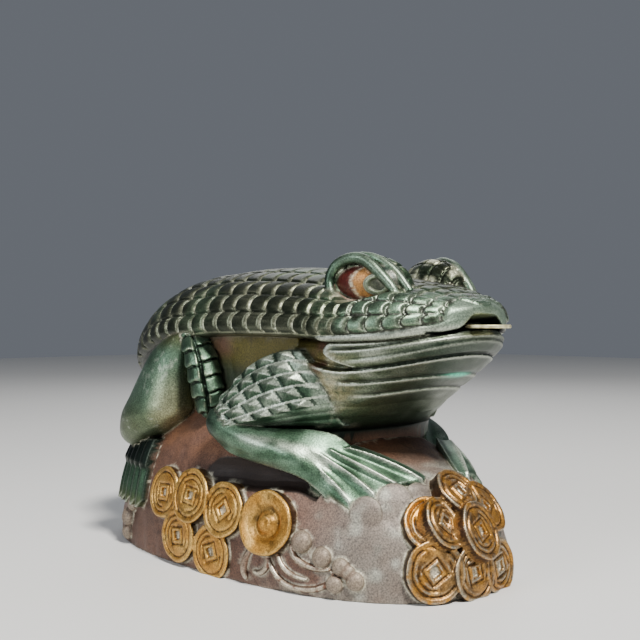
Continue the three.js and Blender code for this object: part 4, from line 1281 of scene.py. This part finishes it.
SCALE_DARK = srgb(34, 40, 28)
SCALE_GREEN = srgb(54, 74, 54)
SCALE_CUT = srgb(196, 198, 172)
GREEN = srgb(60, 84, 66)
GREEN_LIGHT = srgb(112, 140, 120)
GREEN_DARK = srgb(18, 32, 25)
OLIVE = srgb(92, 84, 36)
SILVER = srgb(200, 206, 194)
THROAT_GREY = srgb(76, 84, 64)
WARM = srgb(176, 164, 128)
BROWN = srgb(98, 70, 58)
MAUVE = srgb(114, 109, 103)
RUST = srgb(116, 78, 54)
BROWN_DARK = srgb(50, 34, 28)
GOLD = srgb(168, 120, 52)
GOLD_LIGHT = srgb(224, 188, 112)
GOLD_DARK = srgb(46, 31, 14)
CREAM = srgb(206, 200, 182)
FOAM = srgb(112, 96, 84)
ROSE = srgb(176, 140, 128)
EYE_RED = srgb(74, 26, 20)
EYE_ORANGE = srgb(150, 104, 54)
EYE_GREY = srgb(112, 122, 102)
EYE_DARK = srgb(52, 56, 42)
TURQUOISE = srgb(96, 196, 170)
# The chip on the chin: forward, left and up, and its spread across, forward and up
CHIP_PLACE = (127.0, 4.0, 115.7)
CHIP_SPREAD = (9.0, 6.0, 1.2)


def blend_to(colour, target, amount):
    return colour + (target - colour) * np.clip(amount, 0, 1)[:, None]


def nearest_tones(places, owners, names, solids):
    """Each vertex takes the tone of the nearest point of the solids that share its paint."""
    tone = np.zeros(len(places))
    for index, name in enumerate(names):
        chosen = np.nonzero(owners == index)[0]
        sources = [s for s in solids if s.paint == name and np.ptp(s.tone) > 0]
        if not len(chosen) or not sources:
            continue
        points = np.concatenate([s.points for s in sources])
        tones = np.concatenate([s.tone for s in sources])
        tree = KDTree(len(points))
        for i, point in enumerate(points.tolist()):
            tree.insert(point, i)
        tree.balance()
        tone[chosen] = tones[[tree.find(point)[1] for point in places[chosen].tolist()]]
    return tone


class Marks:
    """What the paint depends on at each vertex: paint masks, tones, hollows, edges and noise."""

    def __init__(self, places, volume, volumes, solids):
        self.places = places
        self.left, self.forward, self.up = places[:, 0], -places[:, 1], places[:, 2]
        self.names = [name for v in volumes for name in v.paints]
        self.distances = np.stack([
            v.sample(field, places) for v in volumes for field in v.paints.values()
        ])
        order = np.sort(self.distances, axis=0)
        self.crease = smooth(1.5, 0.2, order[1] - np.minimum(order[0], 0.4))
        owners = np.argmin(self.distances, axis=0)
        self.tone = nearest_tones(places, owners, self.names, solids)
        self.cut = np.clip(self.tone, 0, 1)
        self.lit = np.clip(-self.tone, 0, 1)
        # pit marks hollows, which the painters darken as painted shade; edge marks raised edges, which they
        # lighten as a pale rub that is partly a painted highlight.
        hollow = volume.sample(box_blur(volume.whole, 2), places)
        self.pit = smooth(0.05, 0.5, -hollow)
        self.edge = smooth(0.05, 0.45, hollow)
        self.broad = lattice_noise(places, *BROAD_NOISE)
        self.small = lattice_noise(places, *SMALL_NOISE)
        self.tiny = lattice_noise(places, *TINY_NOISE)
        self.streak = lattice_noise(places * np.array([0.35, 0.35, 1.6]), *STREAK_NOISE)
        self.cuts = {
            name: smooth(0.9, 0.1, np.abs(volume.sample(field, places)))
            for name, field in volume.cuts.items()
        }

    def in_cut(self, name):
        return self.cuts.get(name, np.zeros(len(self.places)))

    def near(self, name):
        return smooth(2.4, 0.3, self.distances[self.names.index(name)])

    def mask(self, name):
        index = self.names.index(name)
        others = np.min(np.delete(self.distances, index, axis=0), axis=0)
        return smooth(-0.5, 0.5, others - self.distances[index])


def layered(base, *layers):
    """A base colour with (colour, amount) layers blended over it, for every vertex."""
    size = max(len(amount) for _, amount in layers)
    colour = np.tile(base, (size, 1))
    for target, amount in layers:
        colour = blend_to(colour, target, amount)
    return colour


def scale_paint(m):
    patchy = smooth(-0.7, 0.3, m.small + 0.6 * m.tiny)
    cheek = smooth(88, 108, m.forward) * smooth(163, 157, m.up)
    return layered(
        SCALE_DARK,
        (SCALE_GREEN, smooth(0.0, 0.8, m.broad + 0.6 * m.small) * 0.8),
        (GREEN_LIGHT, cheek * smooth(-0.9, 0.3, m.small) * 0.6),
        # Pale and silver on the front cuts: partly pale paint and partly a painted highlight.
        (SCALE_CUT, m.cut * (0.35 + 0.55 * patchy) * (1 - 0.3 * cheek)),
        (SILVER, m.cut * cheek),
        (SILVER * 0.62, smooth(-0.2, -0.7, m.tone) * (0.75 + 0.25 * m.small)),
        (
            GREEN_LIGHT,
            smooth(-0.3, -0.6, m.tone) * smooth(100, 112, m.forward) * smooth(141, 145, m.up) * 0.6,
        ),
        # Painted shade on the band under the ledge behind the head.
        (SCALE_DARK * 0.8, smooth(0.15, 0.35, m.tone) * smooth(80, 72, m.forward) * smooth(138, 134, m.up)),
        # Pale rub on raised edges, partly a painted highlight.
        (SCALE_CUT, m.edge * smooth(-0.2, 0.6, m.small) * 0.35),
        # Painted shade in hollows, and painted shadow in the gaps between the cheek tiles.
        (SCALE_DARK * 0.4, m.pit * (0.3 + 0.6 * cheek)),
        (SCALE_DARK * 0.5, smooth(1.2, 1.7, m.tone) * 0.9),
    )


def flank_paint(m):
    reddish = smooth(-0.2, 0.5, m.small + 0.6 * m.broad) * smooth(30, 55, m.forward) * smooth(112, 122, m.up)
    rear = smooth(2, -12, m.forward)
    return layered(
        OLIVE * 0.9,
        (BROWN * 0.8, smooth(-0.1, 0.6, m.broad + 0.4 * m.streak) * 0.6),
        (BROWN, reddish + rear * smooth(120, 128, m.up)),
        (GREEN_DARK * 2.0, smooth(122, 108, m.up + 0.2 * (m.forward - 20)) * 0.85),
        (OLIVE * 0.9, smooth(-0.1, 0.6, m.small + 0.6 * m.broad) * smooth(0, -40, m.forward) * 0.6),
        (GREEN, smooth(0.0, 0.7, m.streak) * smooth(0, -40, m.forward) * 0.5),
        (BROWN_DARK, smooth(0.3, 0.9, m.streak) * 0.5),
    )


def throat_paint(m):
    """Silvery behind, with painted shade in dark green towards the chin and at the bottom, and fine cream
    speckles low on the side.
    """
    speckle = smooth(104, 76, m.forward) * smooth(88, 108, m.up) * smooth(-0.5, 0.4, m.tiny + 0.2)
    shade = smooth(100, 138, m.forward + 0.5 * (128 - m.up)) * smooth(139, 134, m.up)
    inside = smooth(112, 86, m.forward) * smooth(135, 133.5, m.up) * smooth(127, 131.5, m.up)
    behind = smooth(LOBE_REAR - 1, LOBE_REAR - 4, m.forward) * smooth(114, 120, m.up)
    return layered(
        THROAT_GREY,
        (SILVER, smooth(-0.3, 0.8, m.small + 0.7 * m.streak) * 0.32),
        (WARM, speckle * 0.6),
        (GREEN * 0.8, smooth(104, 86, m.up) * 0.8),
        # Painted shade, deepest on the chin's underside.
        (GREEN_DARK * 1.8, shade * 0.85),
        (GREEN_DARK * 1.3, inside * 0.75),
        (OLIVE * 0.8, behind * 0.9),
        (BROWN * 0.8, behind * smooth(-0.3, 0.5, m.small)),
        # Painted highlight on the lifted band edges and the lobe's rim.
        (SILVER, m.lit * 0.9 * (1 - 0.4 * shade)),
        # Dark in the grooves, and painted shade in the gully beside the arm.
        (GREEN_DARK * 0.7, m.cut * 0.95 + m.near("arm") * 0.6),
        # Painted shade under the bag.
        (GREEN_DARK * 0.5, smooth(90, 84, m.up)),
    )


def arm_paint(m):
    return layered(
        GREEN * 0.8,
        (GREEN_LIGHT, smooth(-0.5, 0.6, m.small + 0.4 * m.broad) * 0.45),
        (SILVER, smooth(-0.4, 0.6, m.small - 0.4 * m.broad) * smooth(10, 50, m.forward) * 0.3),
        # Painted highlight on the tile faces turned to the light.
        (SILVER, m.lit * (0.75 + 0.25 * m.small)),
        # Pale rub on raised edges, partly a painted highlight.
        (SILVER, m.edge * 0.6 * smooth(-0.8, 0.2, m.tiny)),
        # Painted shade in hollows, on the tiles' shaded faces and in the gaps.
        (GREEN_DARK, m.pit * 0.5 + m.cut * 0.85),
    )


def foot_paint(m):
    # crown: the painted highlight on the forearm's crown and the toe crests.
    crown = smooth(0.1, 0.8, -m.tone)
    elbow = smooth(22, 8, m.forward)
    return layered(
        GREEN,
        (GREEN_LIGHT, smooth(-0.5, 0.6, m.small + 0.5 * m.streak) * 0.6),
        # Painted shade in hollows.
        (GREEN_DARK, m.pit * 0.75),
        # Pale rub on raised edges, partly a painted highlight, and the painted highlight on the crown and
        # toes.
        (SILVER, m.edge * 0.4 + crown * (0.4 + 0.3 * m.small + 0.2 * m.streak)),
        # Painted shade at the elbow.
        (GREEN_DARK * 1.3, elbow * 0.8),
        (BROWN * 0.6, smooth(70, 64, m.up) * smooth(70, 50, m.forward) * 0.7),
    )


def shin_paint(m):
    return layered(
        GREEN * 0.75,
        (GREEN_LIGHT, smooth(-0.3, 0.9, m.broad + 0.4 * m.small + 0.3) * 0.5),
        (OLIVE * 0.7, smooth(104, 78, m.up) * 0.5 + smooth(124, 136, m.up) * 0.6),
        (WARM, smooth(-62, -46, m.forward) * smooth(122, 96, m.up) * 0.35),
        (SILVER, smooth(0.4, 0.9, m.tiny + 0.5 * m.small) * 0.25),
        (CREAM, m.crease * 0.5),
    )


def thigh_paint(m):
    return layered(
        GREEN * 0.6,
        (GREEN_LIGHT, smooth(-0.5, 0.5, m.broad + m.small * 0.6) * 0.5),
        # Painted highlight on the raised end of each block.
        (GREEN_LIGHT, m.lit * 0.9),
        # Pale rub on raised edges, partly a painted highlight.
        (SCALE_CUT, m.edge * 0.35 * smooth(-0.2, 0.5, m.tiny)),
        # Painted shade in the gaps and seams.
        (GREEN_DARK * 0.4, m.cut * 0.95),
    )


def hind_foot_paint(m):
    return layered(
        GREEN * 0.9,
        # Painted shadow on the upper part of the foot, under the heel.
        (GREEN_DARK * 0.5, smooth(49, 53, m.up)),
        (OLIVE, smooth(40, 28, m.up) * 0.4),
        # Pale rub on raised edges, partly a painted highlight.
        (SILVER, m.edge * 0.45),
        # Painted shade in the grooves between the toes.
        (GREEN_DARK, m.cut * 0.8),
    )


def lid_paint(m):
    return layered(
        GREEN * 0.75,
        (GREEN_LIGHT, smooth(-0.2, 0.8, m.small + 0.5 * m.streak) * 0.6),
        # Pale rub on raised edges towards the front, partly a painted highlight along the lids.
        (SILVER, m.edge * 0.75 * smooth(70, 86, m.forward)),
        # Painted shade at the rear of the lids and in hollows.
        (GREEN_DARK, smooth(84, 72, m.forward) * 0.6 + m.pit * 0.8),
    )


def rim_paint(m):
    return layered(
        ROSE,
        # Pale rub on raised edges, partly a painted highlight.
        (CREAM, m.edge * 0.5),
        # Painted shade in hollows.
        (EYE_RED, m.pit * 0.6),
    )


def eye_top_paint(m):
    return layered(
        SCALE_DARK,
        (SCALE_GREEN, smooth(0, 0.7, m.broad)),
        # Pale patches, more of them on raised edges: partly a painted highlight.
        (SCALE_CUT, smooth(0.0, 0.6, m.small + 0.4 * m.edge) * 0.75),
        # Darker lines between the tiles: painted shade in the grooves.
        (SCALE_DARK * 0.6, m.cut * 0.5),
    )


def eye_paint(m):
    """Dark red behind, a pale curved line, then gold, and grey around the pupil."""
    rise = m.up - 168
    border = m.forward - (87.8 + 0.13 * np.clip(rise, 0, None) ** 2 + 0.05 * np.clip(-rise, 0, None) ** 2)
    r = pupil_distance(m.forward, m.up)
    return layered(
        EYE_RED,
        (EYE_ORANGE, smooth(-0.3, 0.3, border)),
        (EYE_RED * 0.7, smooth(0.1, 0.9, m.tiny) * smooth(163, 160, m.up) * 0.8),
        (CREAM, np.exp(-(border / 0.9) ** 2) * 0.8),
        (EYE_GREY, np.maximum(smooth(6.3, 5.9, r), smooth(104, 106, m.forward))),
        # Painted highlight on the raised ring round the pupil.
        (SILVER, np.exp(-((r - 5.5) / 0.4) ** 2) * 0.7 * smooth(108, 104, m.forward)),
        (EYE_DARK, smooth(3.7, 3.1, r) * 0.9),
        # Painted shade in the rear corner of the eye.
        (EYE_DARK, smooth(80, 76, m.forward) * 0.6),
        # Painted shade under the brow of the lid.
        (GREEN_DARK * 1.5, smooth(-1.5, 0.0, m.up - eye_brow(m.forward))),
    )


def ground_paint(m):
    """Brown wood above and behind, silvery towards the front: partly pearly paint and partly a painted
    highlight.
    """
    # silvery: the front made paler, partly as pearly paint and partly as a painted highlight.
    silvery = smooth(25, 105, m.forward - 0.4 * np.abs(m.left)) * smooth(74, 56, m.up)
    silvery = np.clip(silvery + 0.35 * smooth(20, 80, m.forward) * smooth(40, 20, m.up), 0, 1)
    return layered(
        BROWN,
        (BROWN_DARK, smooth(0.0, 0.9, m.broad - 0.4 * m.small) * 0.45),
        (RUST, smooth(-0.3, 0.6, m.broad + 0.5 * m.small) * smooth(56, 74, m.up) * 0.7),
        (MAUVE, silvery * (0.8 + 0.2 * m.small)),
        (SILVER, silvery * smooth(0.0, 0.9, m.small + 0.6 * m.streak) * 0.3),
        (BROWN_DARK, smooth(0.2, 0.9, m.streak + 0.4 * m.tiny) * 0.4),
        # Pale rub on raised edges, partly a painted highlight.
        (CREAM, m.edge * 0.15),
        # Painted shadow in the hollow under the forearm, and painted shade beside the foot.
        (BROWN_DARK * 0.3, m.in_cut("hollow") * 0.95 + m.near("foot") * 0.7),
        (BROWN, m.in_cut("wave") * 0.8),
    )


def ridge_paint(m):
    return layered(
        BROWN * 1.2,
        # Pale crests, partly a painted highlight.
        (CREAM, m.edge * 0.95 * smooth(-1.1, -0.1, m.tiny + 0.3 * m.small)),
        # Painted shade in hollows.
        (BROWN_DARK, m.pit * 0.6),
    )


def foam_paint(m):
    return layered(
        FOAM,
        # Pale tops, partly a painted highlight, with fine pale speckles.
        (CREAM, m.edge * 0.75 + smooth(0.3, 0.9, m.tiny) * 0.12),
        # Painted shade in hollows.
        (BROWN * 0.7, m.pit),
    )


def gold_paint(m):
    """Orange-gold on the left heap, browner with silvery rims on the front heap; the rims are partly a
    painted highlight and the walls carry painted shadow.
    """
    front = smooth(95, 118, m.forward)
    wall = smooth(-0.2, -0.45, m.tone) * smooth(-0.8, -0.6, m.tone)
    hole = smooth(-0.7, -0.9, m.tone)
    return layered(
        GOLD,
        (GOLD_LIGHT, smooth(-0.3, 0.9, m.small + 0.3 * m.streak) * 0.4),
        (BROWN * 0.8, front * smooth(-0.6, 0.5, m.small + 0.5 * m.tiny) * 0.6),
        (GOLD_DARK, smooth(0.1, 0.8, m.tiny + 0.4 * m.streak) * 0.6),
        # Pale rims, gold on the left heap and silver on the front one: partly a painted highlight.
        (GOLD_LIGHT, m.edge * 0.5 * (1 - front)),
        (SILVER, m.edge * 0.4 * front * smooth(-0.6, 0.4, m.small + m.tiny)),
        # Dark engraved lines, and painted shade in hollows.
        (GOLD_DARK, m.cut * (0.95 - 0.15 * front) + m.pit * 0.4),
        # Painted shadow on the walls round the coins.
        (BROWN_DARK * 0.8, wall * 0.9),
        (CREAM, hole * 0.7),
    )


PAINTERS = {
    "scales": scale_paint, "flank": flank_paint, "throat": throat_paint, "arm": arm_paint,
    "foot": foot_paint, "shin": shin_paint, "thigh": thigh_paint, "hindfoot": hind_foot_paint,
    "rim": rim_paint, "lid": lid_paint, "eyetop": eye_top_paint, "eyeball": eye_paint, "mound": ground_paint,
    "foam": foam_paint, "ridge": ridge_paint, "gold": gold_paint,
}


def paint_piece(obj, volume, volumes, solids):
    """Colour, metal and roughness at every point of a piece, as attributes of its mesh."""
    m = Marks(vertex_places(obj.data), volume, volumes, solids)
    colour = np.tile(GREEN, (len(m.places), 1))
    for name, painter in PAINTERS.items():
        mask = m.mask(name)
        if mask.max() > 0:
            colour += (painter(m) - colour) * mask[:, None]
    on_mound = np.maximum.reduce([m.mask("mound"), m.mask("foam"), m.mask("gold")])
    on_mound = on_mound * (1 - 0.7 * m.mask("foot"))
    line = m.crease * smooth(-0.6, 0.3, m.small + 0.8 * m.tiny + 0.2)
    line *= 0.2 + 0.5 * on_mound
    colour = blend_to(colour, CREAM, line)
    # Painted shade: darker in hollows, except on the pale lines.
    colour = colour * (1 - 0.55 * m.pit * (1 - line))[:, None]
    # Painted shade inside the mouth's slit.
    slot = mouth_slot_distance(m.places)
    colour = blend_to(colour, GREEN_DARK * 0.4, smooth(1.0, 0.3, slot) * smooth(147.0, 145.5, m.forward))
    chip = np.sum(((m.places - place(*CHIP_PLACE)) / np.array(CHIP_SPREAD)) ** 2, axis=1)
    colour = blend_to(colour, TURQUOISE, 1.5 * np.exp(-chip))
    set_colour(obj, "paint", np.clip(colour, 0, 1))
    wood = np.maximum(m.mask("mound"), m.mask("foam"))
    metal = 0.8 - 0.45 * wood - 0.6 * m.mask("flank") - 0.4 * m.mask("eyeball") - 0.25 * line
    set_attribute(obj, "metal", np.clip(metal, 0.05, 0.8))
    set_attribute(obj, "rough", 0.28 + 0.18 * wood + 0.12 * m.mask("flank") + 0.1 * m.pit)


# Materials

def new_material(name):
    material = bpy.data.materials.new(name)
    material.use_nodes = True
    nodes = material.node_tree.nodes
    return material, nodes, material.node_tree.links, nodes["Principled BSDF"]


def attribute_node(nodes, name):
    node = nodes.new("ShaderNodeAttribute")
    node.attribute_name = name
    return node


def noise_node(nodes, links, scale, detail):
    coords = nodes.new("ShaderNodeTexCoord")
    node = nodes.new("ShaderNodeTexNoise")
    node.inputs["Scale"].default_value = scale
    node.inputs["Detail"].default_value = detail
    links.new(coords.outputs["Object"], node.inputs["Vector"])
    return node


def ramp_node(nodes, links, noise, low, low_colour, high, high_colour):
    """A ramp over a noise, from one colour at the low value to another at the high one."""
    node = nodes.new("ShaderNodeValToRGB")
    first, last = node.color_ramp.elements
    first.position, last.position = low, high
    first.color, last.color = (*low_colour, 1), (*high_colour, 1)
    links.new(noise.outputs["Fac"], node.inputs["Fac"])
    return node


def carving_material():
    """Metallic paint over carved wood: vertex colours, fine glitter and a brushed grain."""
    material, nodes, links, shader = new_material("painted_wood")
    glitter = noise_node(nodes, links, 1100, 3)
    wear = noise_node(nodes, links, 160, 5)
    ramp = ramp_node(nodes, links, glitter, 0.3, (0.55, 0.55, 0.55), 0.74, (1.6, 1.6, 1.5))
    tint = nodes.new("ShaderNodeMix")
    tint.data_type = "RGBA"
    tint.blend_type = "MULTIPLY"
    tint.inputs["Factor"].default_value = 1.0
    links.new(attribute_node(nodes, "paint").outputs["Color"], tint.inputs["A"])
    links.new(ramp.outputs["Color"], tint.inputs["B"])
    links.new(tint.outputs["Result"], shader.inputs["Base Color"])
    links.new(attribute_node(nodes, "metal").outputs["Fac"], shader.inputs["Metallic"])
    worn = nodes.new("ShaderNodeMath")
    worn.operation = "MULTIPLY_ADD"
    worn.inputs[1].default_value = 0.22
    links.new(wear.outputs["Fac"], worn.inputs[0])
    links.new(attribute_node(nodes, "rough").outputs["Fac"], worn.inputs[2])
    links.new(worn.outputs["Value"], shader.inputs["Roughness"])
    bump = nodes.new("ShaderNodeBump")
    bump.inputs["Strength"].default_value = 0.3
    bump.inputs["Distance"].default_value = 0.0004
    links.new(glitter.outputs["Fac"], bump.inputs["Height"])
    links.new(bump.outputs["Normal"], shader.inputs["Normal"])
    return material


def coin_material():
    """Worn pale brass in two tones."""
    material, nodes, links, shader = new_material("coin_metal")
    noise = noise_node(nodes, links, 260, 5)
    ramp = ramp_node(nodes, links, noise, 0.35, srgb(150, 140, 96), 0.6, srgb(226, 220, 178))
    links.new(ramp.outputs["Color"], shader.inputs["Base Color"])
    shader.inputs["Metallic"].default_value = 0.7
    shader.inputs["Roughness"].default_value = 0.42
    return material


def carving():
    """The carving as three pieces that run into each other: mound, body and limbs."""
    groups = {"mound": base_solids(), "frog_body": body_solids(), "frog_limbs": limb_solids()}
    volumes = {name: Volume(steps) for name, steps in groups.items()}
    volumes["frog_body"].cut_mouth()
    solids = [s for steps in groups.values() for kind, group in steps for s in group if kind == "add"]
    material = carving_material()
    for name, volume in volumes.items():
        points, triangles, quads = volume.polygons()
        points = points.astype(float)
        quads = visible_faces(points, quads, [v for v in volumes.values() if v is not volume])
        dense = mesh_object(name, points, quads, triangles)
        obj = thinned(dense, len(triangles) + 2 * len(quads))
        paint_piece(obj, volume, list(volumes.values()), solids)
        obj.data.shade_smooth()
        obj.data.materials.append(material)
        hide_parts("frog_carving")
        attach(obj, "root")


def mouth_coin():
    """A thin round coin with a raised rim and a square hole."""
    around = full_turn(96)
    square = MOUTH_COIN_HOLE / np.maximum(np.abs(np.cos(around)), np.abs(np.sin(around)))
    radius = np.full(len(around), MOUTH_COIN_RADIUS)
    # The upper half of its section, from the hole to the rim, as reach and share of its half thickness
    profile = [
        (square, 0.9), (square + 0.7, 1), (square + 1.3, 0.6), (radius - 2.2, 0.6),
        (radius - 1.5, 1), (radius - 0.3, 1), (radius, 0.7),
    ]
    profile += [(reach, -share) for reach, share in reversed(profile)]
    forward, left, up = MOUTH_COIN_CENTRE
    rings = np.array([
        place(forward + reach * np.cos(around), left + reach * np.sin(around), up + share * MOUTH_COIN_HALF)
        for reach, share in profile
    ])
    quads = grid_quads(len(profile), len(around), ring=True, loop=True)[:, [0, 3, 2, 1]]
    obj = mesh_object("loose_coin", rings.reshape(-1, 3), quads, NO_FACES)
    obj.data.shade_smooth()
    obj.data.materials.append(coin_material())
    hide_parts("mouth_coin")
    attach(obj, "root")


# Stage, light and camera

def floor():
    bpy.ops.mesh.primitive_plane_add(size=6, location=(0, 0, 0))
    plane = bpy.context.object
    plane.name = "floor"
    material, _, _, shader = new_material("pale_floor")
    shader.inputs["Base Color"].default_value = (0.62, 0.62, 0.61, 1)
    shader.inputs["Roughness"].default_value = 0.6
    plane.data.materials.append(material)


def lamp(name, spot, watts, size, colour):
    data = bpy.data.lights.new(name, "AREA")
    data.energy = watts
    data.color = colour
    data.size = size
    obj = bpy.data.objects.new(name, data)
    bpy.context.scene.collection.objects.link(obj)
    obj.location = spot
    obj.rotation_euler = (Vector(LAMP_TARGET) - Vector(spot)).to_track_quat("-Z", "Y").to_euler()


def lights():
    for values in LAMPS:
        lamp(*values)
    world = bpy.data.worlds.new("studio")
    world.use_nodes = True
    background = world.node_tree.nodes["Background"]
    background.inputs["Color"].default_value = SKY
    background.inputs["Strength"].default_value = SKY_STRENGTH
    bpy.context.scene.world = world


def camera():
    data = bpy.data.cameras.new("camera")
    data.lens = LENS
    data.sensor_width = SENSOR_WIDTH
    obj = bpy.data.objects.new("camera", data)
    bpy.context.scene.collection.objects.link(obj)
    obj.location = Vector(CAMERA_PLACE) * MM
    heading = Vector((*CAMERA_HEADING, 0))
    obj.rotation_euler = heading.to_track_quat("-Z", "Y").to_euler()
    bpy.context.scene.camera = obj


camera()
lights()
floor()
carving()
mouth_coin()
